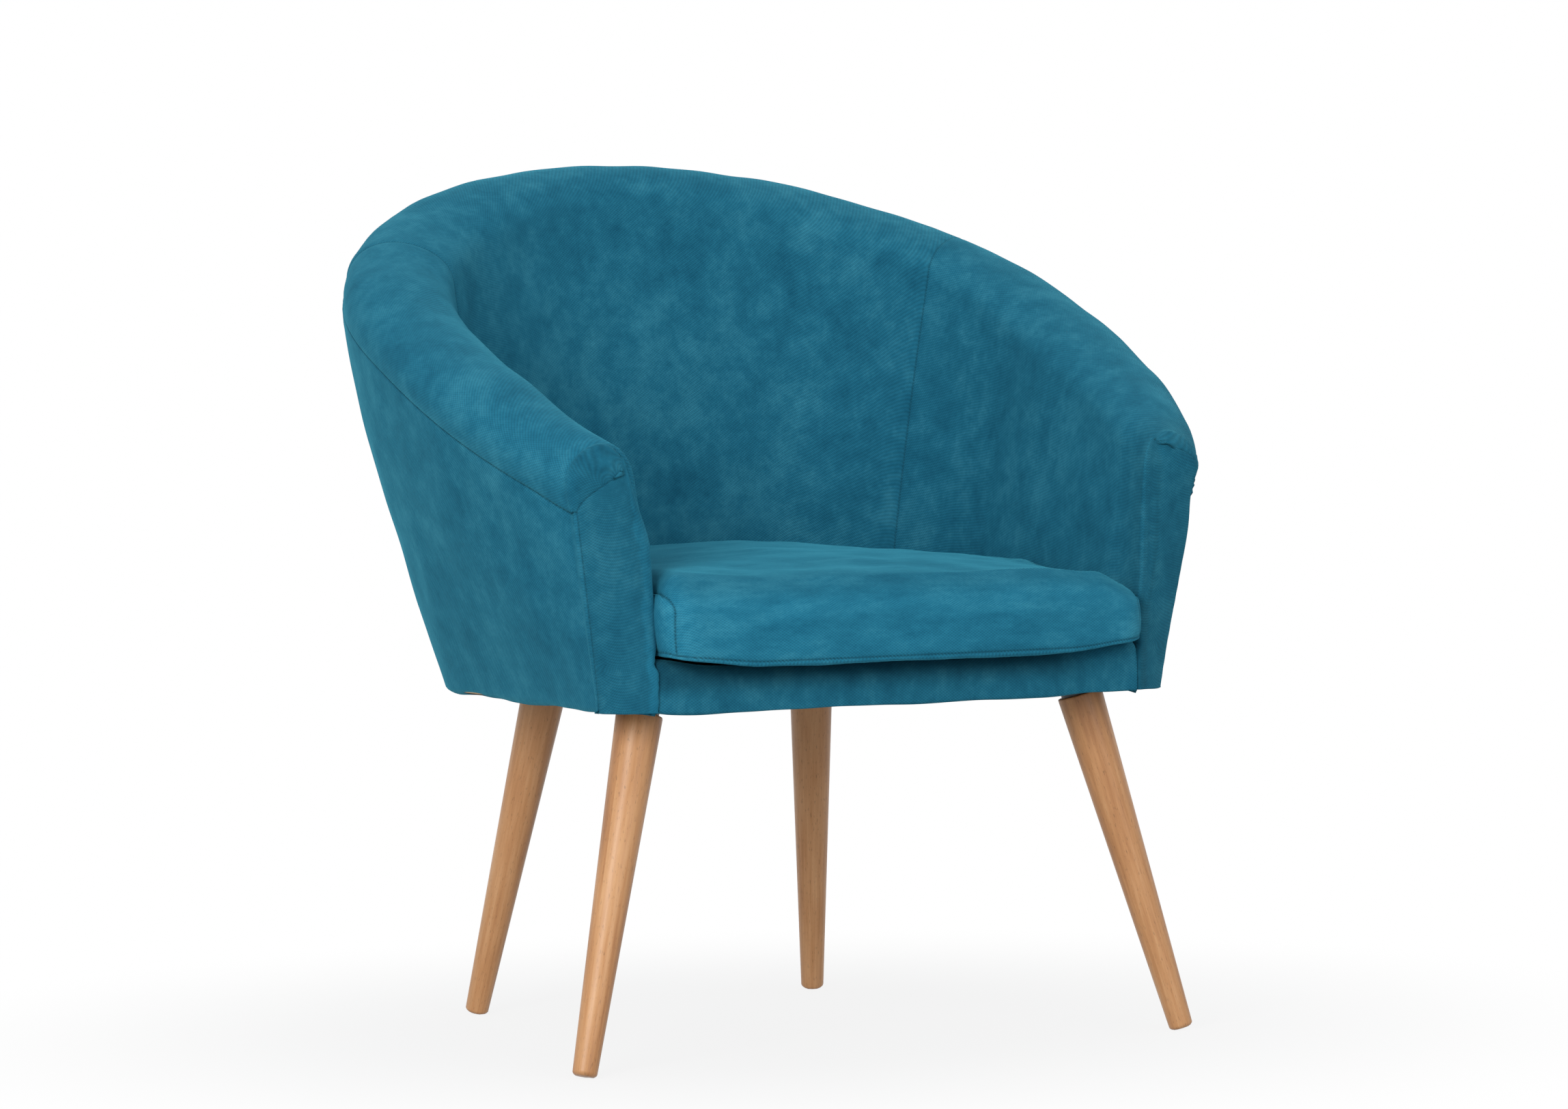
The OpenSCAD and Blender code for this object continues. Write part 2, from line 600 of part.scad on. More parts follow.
// Points of the right half's outline from the front's middle to the rear's, each with its share of
// the front's form against the boxed form of the sides
function half_outline() =
  let (half = cushion_w / 2, r = cushion_corner_r, y = -cushion_front + front_bow)
  concat(
    [for (k = [0:front_steps - 1]) let (q = k / front_steps)
     [(half - r) * q, y - front_bow * (1 - q * q), 1]],
    [for (k = [0:corner_steps]) let (turn = 90 * k / corner_steps)
     [half - r + r * sin(turn), y + r - r * cos(turn), cos(turn)]],
    [for (k = [1:side_steps - 1]) let (q = k / side_steps)
     [half - side_draw * sin(180 * q), mix(y + r, cushion_mid, q), 0]],
    [for (k = [0:rear_steps]) let (turn = 90 * (1 - k / rear_steps))
     [half * power(sin(turn), well_round_share),
      cushion_mid + (cushion_back - cushion_mid) * power(cos(turn), well_round_share), 0]]);
cushion_outline =
  let (h = half_outline(), n = len(h))
  concat(h, [for (k = [n - 2:-1:1]) [-h[k][0], h[k][1], h[k][2]]]);
outline_n = len(cushion_outline);
front_n = front_steps + corner_steps;
// Sections from the bottom over the edge to the top: shares of soft_edge inwards and of boxing_h up
side_shares = [[1, 0], [0.25, 0.02], [0, 0.1], [-0.1, 0.5], [0, 0.96], [0.16, 1], [0.45, 1.13], [1, 1.26]];
front_shares = [[1, 0], [0.3, 0.02], [0, 0.1], [0, 0.37], [0.02, 0.62], [0.35, 0.85], [0.95, 1.06], [1.9, 1.24]];
low_seam = 1;
top_seam = 5;
profile_n = len(side_shares);
crown_shares = [0.78, 0.55, 0.3];
crown_power = 2.2;
crown_y = -40;
ring_n = profile_n + len(crown_shares);

function outline_out(k) =
  unit(turned(flat(cushion_outline[(k + outline_n - 1) % outline_n]) - flat(cushion_outline[(k + 1) % outline_n])));
// Point of ring j at outline point k, with the whole surface drawn in by inset
function edge_point(j, k, inset) =
  let (o = cushion_outline[k], c = mix(side_shares[j], front_shares[j], o[2]),
       room = (crown_h - 2 * inset) / crown_h, back = max(0, c[0] - side_shares[j][0]) * soft_edge)
  at_height(flat(o) - outline_out(k) * (min(c[0], side_shares[j][0]) * soft_edge + inset) + [0, back],
            cushion_z + inset + c[1] * boxing_h * room);
function bulge(x, y) = (1 - pow(abs(x), crown_power)) * (1 - pow(abs(y), crown_power));
function cushion_point(j, k, inset) =
  j < profile_n ? edge_point(j, k, inset)
  : let (rim = edge_point(profile_n - 1, k, inset), q = crown_shares[j - profile_n],
         p = [rim[0] * q, mix(crown_y, rim[1], q)], top = cushion_z + crown_h - inset,
         half = edge_point(profile_n - 1, front_n, inset)[0],
         reach = edge_point(profile_n - 1, p[1] < crown_y ? 0 : outline_n / 2, inset)[1] - crown_y)
    at_height(p, mix(rim[2], top, bulge(p[0] / half, (p[1] - crown_y) / reach)));
function cushion_top_point(inset) = [0, crown_y, cushion_z + crown_h - inset];
function cushion_low_point(inset) = [0, crown_y, cushion_z + inset];
function at_ring(j, k) = j * outline_n + (k + outline_n) % outline_n;
function ring_faces(j, k) =
  split(at_ring(j, k), at_ring(j + 1, k), at_ring(j + 1, k + 1), at_ring(j, k + 1), k < outline_n / 2);
function turned_over(faces, shift) = [for (f = faces) [f[2] + shift, f[1] + shift, f[0] + shift]];
function wall_faces(a, b, shift) = [[a, b, b + shift], [a, b + shift, a + shift]];

module cushion_foam() color("khaki") {
  inset = cover_t + 2 * fit_gap;
  polyhedron(
    concat([for (j = [0:ring_n - 1]) for (k = [0:outline_n - 1]) cushion_point(j, k, inset)],
           [cushion_low_point(inset), cushion_top_point(inset)]),
    concat([for (k = [0:outline_n - 1]) [at_ring(0, k), at_ring(0, k + 1), ring_n * outline_n]],
           [for (j = [0:ring_n - 2]) for (k = [0:outline_n - 1]) for (f = ring_faces(j, k)) f],
           [for (k = [0:outline_n - 1]) [at_ring(ring_n - 1, k + 1), at_ring(ring_n - 1, k),
                                         ring_n * outline_n + 1]]));
}

// A panel of the cushion's cover: the part of its surface that holds(j, k) names, as a sheet. Capped
// with 1 it also closes over the top, with -1 over the bottom
module cushion_panel(holds, cap) {
  shift = ring_n * outline_n + 2;
  points = [for (inset = [0, cover_t]) for (p = concat(
    [for (j = [0:ring_n - 1]) for (k = [0:outline_n - 1]) cushion_point(j, k, inset)],
    [cushion_low_point(inset), cushion_top_point(inset)])) p];
  function has(j, k) = j >= 0 && j < ring_n - 1 && holds(j, (k + outline_n) % outline_n);
  skin = concat(
    [for (j = [0:ring_n - 2]) for (k = [0:outline_n - 1]) if (has(j, k)) for (f = ring_faces(j, k)) f],
    cap == 0 ? [] :
    [for (k = [0:outline_n - 1])
     cap > 0 ? [at_ring(ring_n - 1, k + 1), at_ring(ring_n - 1, k), shift - 1]
             : [at_ring(0, k), at_ring(0, k + 1), shift - 2]]);
  edges = concat(
    [for (j = [0:ring_n - 2]) for (k = [0:outline_n - 1]) if (has(j, k)) for (f = concat(
      has(j, k + 1) ? [] : wall_faces(at_ring(j, k + 1), at_ring(j + 1, k + 1), shift),
      has(j, k - 1) ? [] : wall_faces(at_ring(j + 1, k), at_ring(j, k), shift),
      has(j + 1, k) || (cap > 0 && j == ring_n - 2) ? []
        : wall_faces(at_ring(j + 1, k + 1), at_ring(j + 1, k), shift),
      has(j - 1, k) || (cap < 0 && j == 0) ? []
        : wall_faces(at_ring(j, k), at_ring(j, k + 1), shift))) f]);
  polyhedron(points, concat(skin, turned_over(skin, shift), edges));
}
// The front panel reaches round to the middle of each corner
seam_n = front_steps + corner_steps / 2;
function on_front(k) = k < seam_n || k >= outline_n - seam_n;
module cushion_top() color("teal")
  cushion_panel(function (j, k) j >= top_seam || (j >= low_seam && on_front(k)), 1);
module cushion_boxing() color("teal")
  cushion_panel(function (j, k) j >= low_seam && j < top_seam && !on_front(k), 0);
module cushion_bottom() color("teal") cushion_panel(function (j, k) j < low_seam, -1);

front_rail();
side_rail_left();
side_rail_right();
back_rail();
corner_block(0);  // corner_block_front_left
corner_block(1);  // corner_block_front_right
corner_block(2);  // corner_block_rear_left
corner_block(3);  // corner_block_rear_right
arm_post_left();
arm_post_right();
rib(-rib_shares[0]);  // rib_left_1
rib(-rib_shares[1]);  // rib_left_2
rib(-rib_shares[2]);  // rib_left_3
rib(0);  // rib_back
rib(rib_shares[2]);  // rib_right_3
rib(rib_shares[1]);  // rib_right_2
rib(rib_shares[0]);  // rib_right_1
top_hoop();
outer_lining();
inner_lining();
spring(0);  // spring_1
spring(1);  // spring_2
spring(2);  // spring_3
spring(3);  // spring_4
spring_clips();
seat_deck();
tub_foam();
inner_cover_left();
inner_cover_back();
inner_cover_right();
outer_cover();
arm_facing_left();
arm_facing_right();
front_foam();
front_cover();
dust_cover();
cushion_foam();
cushion_top();
cushion_boxing();
cushion_bottom();
leg(0);  // leg_front_left
leg(1);  // leg_front_right
leg(2);  // leg_rear_left
leg(3);  // leg_rear_right
leg_plate(0);  // leg_plate_front_left
leg_plate(1);  // leg_plate_front_right
leg_plate(2);  // leg_plate_rear_left
leg_plate(3);  // leg_plate_rear_right
hanger_bolts();
plate_screws();
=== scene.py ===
"""Tub chair in teal velvet: its looks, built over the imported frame.

Every new piece is a surface of two parameters, worked out with numpy in millimetres from the same plan
curves and heights as the frame, and put into its mesh in metres.
"""

from __future__ import annotations

import logging
import math
from dataclasses import dataclass, field
from enum import Enum

import bpy
import numpy as np
from mathutils import Matrix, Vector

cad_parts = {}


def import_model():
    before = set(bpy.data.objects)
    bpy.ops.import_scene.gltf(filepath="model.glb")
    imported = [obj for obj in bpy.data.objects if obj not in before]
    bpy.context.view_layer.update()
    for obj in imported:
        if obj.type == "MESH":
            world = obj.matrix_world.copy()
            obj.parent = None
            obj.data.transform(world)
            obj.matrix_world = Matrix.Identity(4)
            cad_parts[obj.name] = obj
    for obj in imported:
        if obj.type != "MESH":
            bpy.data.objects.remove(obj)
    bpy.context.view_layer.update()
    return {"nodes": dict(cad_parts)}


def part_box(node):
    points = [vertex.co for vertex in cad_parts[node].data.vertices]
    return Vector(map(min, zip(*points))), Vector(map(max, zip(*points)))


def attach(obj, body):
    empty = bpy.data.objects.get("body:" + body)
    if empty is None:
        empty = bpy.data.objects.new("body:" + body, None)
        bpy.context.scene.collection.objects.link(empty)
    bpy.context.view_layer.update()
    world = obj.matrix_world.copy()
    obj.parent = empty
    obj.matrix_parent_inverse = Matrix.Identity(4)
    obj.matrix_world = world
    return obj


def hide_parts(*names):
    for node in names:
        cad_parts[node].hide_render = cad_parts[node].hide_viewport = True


Array = np.ndarray
Colour = tuple[float, float, float]
Socket = bpy.types.NodeSocket
Material = bpy.types.Material
Piece = bpy.types.Object
LOG = logging.getLogger("tub_chair")
MM = 0.001
TURN = 2 * math.pi
WAVES = 14
WELD_WITHIN = 0.00002
FOAM_IN = 5.5


def mix(a: Array | float, b: Array | float, t: Array | float) -> Array | float:
    """Gives the value a share t of the way from a to b."""
    return a + (b - a) * t


def ease(t: Array) -> Array:
    """Gives a share that starts and stops softly: 3t^2 - 2t^3, held between 0 and 1."""
    t = np.clip(t, 0.0, 1.0)
    return t * t * (3 - 2 * t)


def signed_power(v: Array, p: float) -> Array:
    """Gives |v|^p with the sign of v."""
    return np.sign(v) * np.abs(v) ** p


def bell(v: Array, width: float) -> Array:
    """Gives a bump of height 1 at 0: e^(-(v / width)^2)."""
    return np.exp(-((v / width) ** 2))


def unit(v: Array) -> Array:
    """Gives vectors of length 1, each in the last axis."""
    return v / np.linalg.norm(v, axis=-1, keepdims=True)


def raised(xy: Array, z: Array) -> Array:
    """Gives points from their x and y and their level."""
    return np.concatenate([xy, z[..., None]], -1)


def over_roll(q: Array) -> Array:
    """Gives how far across the roll places on a section are, by a half circle: 0 before it, 1 after it."""
    return np.where(q < 1, 0.0, np.where(q > 2, 1.0, (1 - np.cos(math.pi * (q - 1))) / 2))


def distances(line: Array) -> Array:
    """Gives each point's distance along a line of points."""
    return np.concatenate([[0], np.cumsum(np.linalg.norm(np.diff(line, axis=0), axis=1))])


def crowded(count: int, pull: float = 0.85) -> Array:
    """Gives count + 1 shares t - pull sin(2 pi t) / (2 pi): end steps are 1 - pull times even ones."""
    t = np.linspace(0.0, 1.0, count + 1)
    return t - pull * np.sin(TURN * t) / TURN


def ripple(points: Array, wavelength: float, seed: int) -> Array:
    """Gives a smooth random field of about unit size: the mean of sine waves in random directions.

    Args:
        points: places, in millimetres, in the last axis.
        wavelength: typical distance between neighbouring crests, in millimetres.
        seed: number that fixes the directions and phases.

    Returns:
        The field's value at each point.
    """
    dice = np.random.default_rng(seed)
    ways = unit(dice.normal(size=(WAVES, 3)))
    ways *= (TURN / (wavelength * dice.uniform(0.7, 1.5, WAVES)))[:, None]
    return np.sin(points @ ways.T + dice.uniform(0, TURN, WAVES)).sum(-1) / math.sqrt(WAVES / 2)


def steps_along(grid: Array, axis: int) -> Array:
    """Gives each point's distance along an axis of the grid from the grid's first edge.

    Args:
        grid: points.
        axis: the grid's axis, 0 or 1.

    Returns:
        The distances.
    """
    gaps = np.linalg.norm(np.diff(grid, axis=axis), axis=-1)
    pad = [(0, 0), (0, 0)]
    pad[axis] = (1, 0)
    return np.pad(np.cumsum(gaps, axis=axis), pad)


def relaxed(grid: Array, passes: int, axis: int) -> Array:
    """Softens creases along an axis: each inner point becomes 1/4, 1/2, 1/4 of its neighbours and itself.

    Args:
        grid: points.
        passes: number of rounds.
        axis: axis of the grid along which it is softened.

    Returns:
        The softened grid, with its edges where they were.
    """
    soft = np.moveaxis(grid.copy(), axis, 0)
    for _ in range(passes):
        soft[1:-1] = soft[1:-1] / 2 + (soft[:-2] + soft[2:]) / 4
    return np.moveaxis(soft, 0, axis)


def settled(grid: Array) -> Array:
    """Gives covers hung below the frame's front, by 1.8 mm at most, easing off upwards and backwards."""
    drop = 1.8 * ease((333.0 - grid[..., 2]) / 16.0) * ease((-130.0 - grid[..., 1]) / 90.0)
    return grid - drop[..., None] * np.array([0.0, 0.0, 1.0])


def facing_out(grid: Array, flip: bool) -> Array:
    """Gives unit normals: the cross product of the grid's two slopes, turned over if flip is set.

    Args:
        grid: points.
        flip: whether the normals are turned over.

    Returns:
        The normals.
    """
    n = np.cross(np.gradient(grid, axis=0), np.gradient(grid, axis=1))
    n /= np.maximum(np.linalg.norm(n, axis=-1, keepdims=True), 1e-9)
    return -n if flip else n


def linked(name: str, data: bpy.types.ID) -> Piece:
    """Gives a new object with that data, in the scene and at the origin.

    Args:
        name: the object's name.
        data: its mesh, lamp or camera.

    Returns:
        The object.
    """
    made = bpy.data.objects.new(name, data)
    bpy.context.scene.collection.objects.link(made)
    return made


def quad_mesh(name: str, grid: Array, corner: Array, flip: bool = False) -> tuple[bpy.types.Mesh, Array]:
    """Puts a grid of points into a mesh.

    Args:
        name: the mesh's name.
        grid: points in millimetres.
        corner: the points' numbers, in a grid whose neighbours the quads join.
        flip: whether the quads are turned over.

    Returns:
        The mesh and its quads.
    """
    quads = np.stack([corner[:-1, :-1], corner[1:, :-1], corner[1:, 1:], corner[:-1, 1:]], -1).reshape(-1, 4)
    if flip:
        quads = quads[:, ::-1]
    mesh = bpy.data.meshes.new(name)
    mesh.from_pydata((grid.reshape(-1, 3) * MM).tolist(), [], quads.tolist())
    return mesh, quads


def weld(piece: Piece) -> None:
    """Joins the edges of a piece where they meet."""
    piece.modifiers.new("close", "WELD").merge_threshold = WELD_WITHIN


def fit(piece: Piece, finish: Material, slot: str, *nodes: str, body: str = "chair",
        fill: float | None = None) -> None:
    """Gives a piece its finish and puts it in the place of its nodes.

    Args:
        piece: the new piece.
        finish: its material.
        slot: name of its material slot; not used.
        *nodes: the nodes that it stands for.
        body: the body that it moves with.
        fill: how full its padding is, or None if it has none; not used.
    """
    piece.data.materials.append(finish)
    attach(piece, body)
    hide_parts(*nodes)
    LOG.info("made %s", piece.name)


@dataclass
class Cloth:
    """A stretched cloth surface: a grid of points in millimetres, and what its material reads."""

    grid: Array
    flip: bool = False
    seam: Array | None = None
    weave: Array | None = None
    # painted light and shade: how much lighter the velvet is painted at each point, as a share; below 0 it is
    # painted shade
    nap: Array | None = None

    def upholster(self, seams: list[tuple[Array, float | Array]], seed: int, softness: float = 1.0) -> None:
        """Moves the surface along its normals as padding under sewn cloth does.

        Seams dip by 1.2 e^(-d / 2.5 mm) + 1.0 e^(-d / 13 mm), puckers of 12 mm run along them and fade over
        10 mm, and the padding between them waves softly.

        Args:
            seams: for each seam, every point's distance from it in millimetres, and its strength.
            seed: number that fixes the waves.
            softness: size of the waves, in millimetres.
        """
        out = facing_out(self.grid, self.flip)
        near = np.minimum.reduce([d for d, _ in seams])
        waves = softness * (0.8 * ripple(self.grid, 150, seed) + 0.35 * ripple(self.grid, 52, seed + 1))
        dips = sum(-k * (1.2 * np.exp(-d / 2.5) + np.exp(-d / 13.0)) for d, k in seams)
        pull = np.maximum.reduce([k * np.exp(-d / 10.0) for d, k in seams])
        pucker = 0.18 * ripple(self.grid, 12, seed + 2) * pull
        move = waves * (1 - np.exp(-near / 12.0)) + dips + pucker * (1 - np.exp(-near / 2.0))
        self.grid = self.grid + out * move[..., None]
        self.seam = np.maximum.reduce([k * bell(d, 1.1) for d, k in seams])

    def make(self, name: str, thick: float = 0.0) -> Piece:
        """Puts the surface into a mesh, with its weave coordinates in metres, its seam mask and its mask of
        painted light and shade.

        Args:
            name: the piece's name.
            thick: the cloth's thickness in millimetres, laid inwards, or 0 for none.

        Returns:
            The new object, at the origin.
        """
        if self.weave is None:
            self.weave = np.stack([steps_along(self.grid, 0), steps_along(self.grid, 1)], -1)
        corner = np.arange(self.grid[..., 0].size).reshape(self.grid.shape[:2])
        mesh, quads = quad_mesh(name, self.grid, corner, self.flip)
        mesh.polygons.foreach_set("use_smooth", np.ones(len(quads), bool))
        uv = mesh.uv_layers.new(name="weave")
        uv.data.foreach_set("uv", (self.weave.reshape(-1, 2) * MM)[quads.ravel()].ravel())
        for key, mask in (("seam", self.seam), ("nap", self.nap)):
            values = mesh.attributes.new(key, "FLOAT", "POINT")
            values.data.foreach_set("value", np.zeros(corner.size) if mask is None else mask.ravel())
        mesh.update()
        piece = linked(name, mesh)
        if thick > 0:
            body = piece.modifiers.new("thickness", "SOLIDIFY")
            body.thickness = thick * MM
            body.offset = -1.0
        return piece


class Graph:
    """The node graph of a material or of the world."""

    def __init__(self, owner: Material | bpy.types.World) -> None:
        """Empties the owner's graph.

        Args:
            owner: the material or world whose graph is built.
        """
        owner.use_nodes = True
        self.owner, self.tree = owner, owner.node_tree
        self.tree.nodes.clear()

    def node(self, kind: str, **facts: object) -> bpy.types.Node:
        """Adds a node and sets its properties.

        Args:
            kind: the node's type.
            **facts: its properties.

        Returns:
            The node.
        """
        made = self.tree.nodes.new(kind)
        for key, value in facts.items():
            setattr(made, key, value)
        return made

    def join(self, source: Socket, target: Socket) -> None:
        """Links an output to an input."""
        self.tree.links.new(source, target)

    def feed(self, target: Socket, value: object) -> None:
        """Gives an input a link or a plain value.

        Args:
            target: the input.
            value: an output to link, or a plain value.
        """
        if isinstance(value, Socket):
            self.join(value, target)
        else:
            target.default_value = value

    def sum_up(self, kind: str, *values: object) -> Socket:
        """Adds a Math node of that operation over values and gives its output.

        Args:
            kind: the operation.
            *values: outputs or plain numbers.

        Returns:
            The node's output.
        """
        made = self.node("ShaderNodeMath", operation=kind)
        for socket, value in zip(made.inputs, values):
            self.feed(socket, value)
        return made.outputs[0]

    def scaled(self, value: object, factor: object, plus: object = None) -> Socket:
        """Gives value times factor, and plus another value if there is one.

        Args:
            value: an output.
            factor: an output or a number.
            plus: an output or a number, or None.

        Returns:
            The output.
        """
        if plus is None:
            return self.sum_up("MULTIPLY", value, factor)
        return self.sum_up("MULTIPLY_ADD", value, factor, plus)

    def blend(self, share: Socket, first: bpy.types.Node, second: bpy.types.Node, end: str) -> None:
        """Mixes two shaders into the graph's output.

        Args:
            share: 0 for the first shader, 1 for the second.
            first: the first shader.
            second: the second shader.
            end: kind of the output node.
        """
        pick = self.node("ShaderNodeMixShader")
        for socket, source in zip(pick.inputs, (share, first.outputs[0], second.outputs[0])):
            self.join(source, socket)
        self.join(pick.outputs[0], self.node(end).inputs[0])


class Finish(Graph):
    """A material's graph around one Principled shader."""

    def __init__(self, name: str) -> None:
        """Starts an empty material of that name.

        Args:
            name: the material's name.
        """
        super().__init__(bpy.data.materials.new(name))
        self.shader = self.node("ShaderNodeBsdfPrincipled")
        self.join(self.shader.outputs[0], self.node("ShaderNodeOutputMaterial").inputs[0])

    def place(self, source: str, scale: Colour = (1, 1, 1)) -> Socket:
        """Gives coordinates: the object's own, or the piece's weave map, stretched by scale.

        Args:
            source: object or weave.
            scale: factors along x, y and z.

        Returns:
            The coordinates.
        """
        if source == "object":
            start = self.node("ShaderNodeTexCoord").outputs["Object"]
        else:
            start = self.node("ShaderNodeUVMap", uv_map=source).outputs[0]
        mapping = self.node("ShaderNodeMapping")
        mapping.inputs["Scale"].default_value = scale
        self.join(start, mapping.inputs["Vector"])
        return mapping.outputs[0]

    def noise(self, where: Socket, scale: float, detail: float = 3.0,
              rough: float = 0.55) -> Socket:
        """Adds a Noise texture.

        Args:
            where: coordinates.
            scale: cells for each metre.
            detail: octaves.
            rough: weight of the finer octaves.

        Returns:
            Its value, about 0.5 on average.
        """
        made = self.node("ShaderNodeTexNoise")
        self.join(where, made.inputs["Vector"])
        made.inputs["Scale"].default_value = scale
        made.inputs["Detail"].default_value = detail
        made.inputs["Roughness"].default_value = rough
        return made.outputs[0]

    def ramp(self, value: Socket, stops: list[tuple[float, Colour]]) -> Socket:
        """Adds a colour ramp over a value.

        Args:
            value: the number that picks the colour.
            stops: places and colours, from low to high.

        Returns:
            The colour.
        """
        made = self.node("ShaderNodeValToRGB")
        band = made.color_ramp.elements
        while len(band) < len(stops):
            band.new(0.5)
        for element, (at, colour) in zip(band, stops):
            element.position = at
            element.color = (*colour, 1.0)
        self.join(value, made.inputs[0])
        return made.outputs[0]

    def shade(self, colour: Socket, by: Socket) -> Socket:
        """Gives the colour multiplied by a grey value.

        Args:
            colour: the colour.
            by: the grey value.

        Returns:
            The product.
        """
        made = self.node("ShaderNodeVectorMath", operation="SCALE")
        self.join(colour, made.inputs[0])
        self.join(by, made.inputs["Scale"])
        return made.outputs[0]

    def relief(self, height: Socket, depth: float, strength: float = 1.0) -> None:
        """Feeds a height to the shader's normal through a Bump node, depth in millimetres.

        Args:
            height: the relief's height, about 0 to 1.
            depth: millimetres for a height of 1.
            strength: share of the effect.
        """
        bump = self.node("ShaderNodeBump")
        bump.inputs["Distance"].default_value = depth * MM
        bump.inputs["Strength"].default_value = strength
        self.join(height, bump.inputs["Height"])
        self.join(bump.outputs[0], self.shader.inputs["Normal"])

    def finish(self, colour: Socket, **sockets: object) -> Material:
        """Sets the shader's colour and its other sockets, given with _ for spaces, and gives the material.

        Args:
            colour: the base colour.
            **sockets: outputs or plain values.

        Returns:
            The material.
        """
        self.join(colour, self.shader.inputs["Base Color"])
        for key, value in sockets.items():
            self.feed(self.shader.inputs[key.replace("_", " ")], value)
        return self.owner


class NapAndPaintedLight(Enum):
    """How the velvet's pile has been brushed: stretch of its patches along x, y and z, and a painted
    lightness: painted shade on the border's copy, painted light on the cushion's.
    """

    # the fourth number is a painted lightness: 0.93 is painted shade, 1.06 is painted light
    CLOUDY = (1.0, 1.0, 1.0, 1.0)
    UPRIGHT = (1.25, 1.25, 0.8, 0.93)
    STREAKED = (0.45, 1.5, 1.5, 1.06)


@dataclass(frozen=True)
class Velvet:
    """Teal velvet with a fine staggered weave, a mottled pile and a soft sheen, whose brightness carries
    painted light and shade.

    Rib and stitch are wavelengths in millimetres, and stroke is how narrow brush strokes are along x, y and
    z.
    """

    deep: Colour = (0.0040, 0.083, 0.145)
    middle: Colour = (0.0125, 0.137, 0.217)
    light: Colour = (0.0340, 0.213, 0.302)
    rib: float = 3.6
    stitch: float = 3.4
    stroke: Colour = (70.0, 90.0, 16.0)

    def material(self, nap: NapAndPaintedLight) -> Material:
        """Makes the velvet: clouds, smudges and brush strokes pick the tone, under a weave of dashes, and
        painted light and shade scale it.

        Args:
            nap: how the pile lies, and the painted lightness of this copy.

        Returns:
            The material.
        """
        g = Finish(f"velvet_{nap.name.lower()}")
        # painted_lightness is painted light above 1 and painted shade below 1, over the whole copy
        *stretch, painted_lightness = nap.value
        brushed = tuple(v * w for v, w in zip(stretch, self.stroke))
        clouds = g.noise(g.place("object", tuple(stretch)), 8.0, 4.0, 0.6)
        smudges = g.noise(g.place("object", tuple(stretch)), 34.0, 5.0, 0.68)
        strokes = g.noise(g.place("object", brushed), 1.0, 4.0, 0.62)
        specks = g.noise(g.place("object"), 260.0, 4.0, 0.7)
        tone = g.scaled(clouds, 0.25,
                        g.scaled(smudges, 0.51, g.scaled(strokes, 0.10, g.scaled(specks, 0.14))))
        colour = g.ramp(tone, [(0.33, self.deep), (0.5, self.middle), (0.67, self.light)])
        cloth = g.node("ShaderNodeSeparateXYZ")
        g.join(g.place("weave", (TURN / (self.rib * MM),) * 3), cloth.inputs[0])
        ribs = g.sum_up("SINE", cloth.outputs[0])
        ground = g.scaled(g.scaled(ribs, g.sum_up("SINE", g.scaled(cloth.outputs[1], 1.4))), 0.5, 0.5)
        pile = g.noise(g.place("object"), 1300.0, 2.0)
        # shade reads each point's painted light and shade from the mesh
        seam, shade = (g.node("ShaderNodeAttribute", attribute_name=key).outputs["Fac"]
                       for key in ("seam", "nap"))
        aslant = g.node("ShaderNodeVectorMath", operation="DOT_PRODUCT")
        g.join(g.place("object"), aslant.inputs[0])
        aslant.inputs[1].default_value = (TURN / (self.stitch * MM),) * 3
        stitches = g.scaled(g.sum_up("SINE", aslant.outputs["Value"]), -0.18, -0.5)
        # the copy's painted lightness, then each point's painted light and shade, scale the brightness
        lit = g.scaled(ground, 0.44, g.scaled(pile, 0.24, 0.66 * painted_lightness))
        lit = g.scaled(lit, g.sum_up("ADD", shade, 1.0))
        lit = g.scaled(lit, g.scaled(seam, stitches, 1.0))
        g.relief(g.scaled(ground, 0.8, pile), 0.25, 0.7)
        return g.finish(g.shade(colour, lit), Roughness=0.88, Specular_IOR_Level=0.12, Sheen_Weight=0.36,
                        Sheen_Roughness=0.4, Sheen_Tint=(0.10, 0.62, 0.80, 1.0))


@dataclass(frozen=True)
class Beech:
    """Lacquered beech: fine grain along the leg, with the short dark flecks of its rays."""

    dark: Colour = (0.36, 0.150, 0.055)
    middle: Colour = (0.54, 0.262, 0.108)
    light: Colour = (0.67, 0.37, 0.178)

    def material(self) -> Material:
        """Makes the wood: stretched noise gives the grain, and thin stretched spots the flecks.

        Returns:
            The material.
        """
        g = Finish("beech")
        grain = g.noise(g.place("weave", (1.0, 0.045, 1.0)), 260.0, 5.0, 0.6)
        broad = g.noise(g.place("weave", (1.0, 0.12, 1.0)), 30.0, 3.0)
        tone = g.scaled(grain, 0.45, g.scaled(broad, 0.55))
        colour = g.ramp(tone, [(0.34, self.dark), (0.5, self.middle), (0.66, self.light)])
        rays = g.noise(g.place("weave", (1.0, 0.16, 1.0)), 900.0, 2.0)
        flecks = g.ramp(rays, [(0.60, (1, 1, 1)), (0.74, (0.62,) * 3)])
        spots = g.node("ShaderNodeRGBToBW")
        g.join(flecks, spots.inputs[0])
        g.relief(grain, 0.06, 0.4)
        return g.finish(g.shade(colour, spots.outputs[0]), Roughness=0.42, Specular_IOR_Level=0.38,
                        Coat_Weight=0.12, Coat_Roughness=0.3)


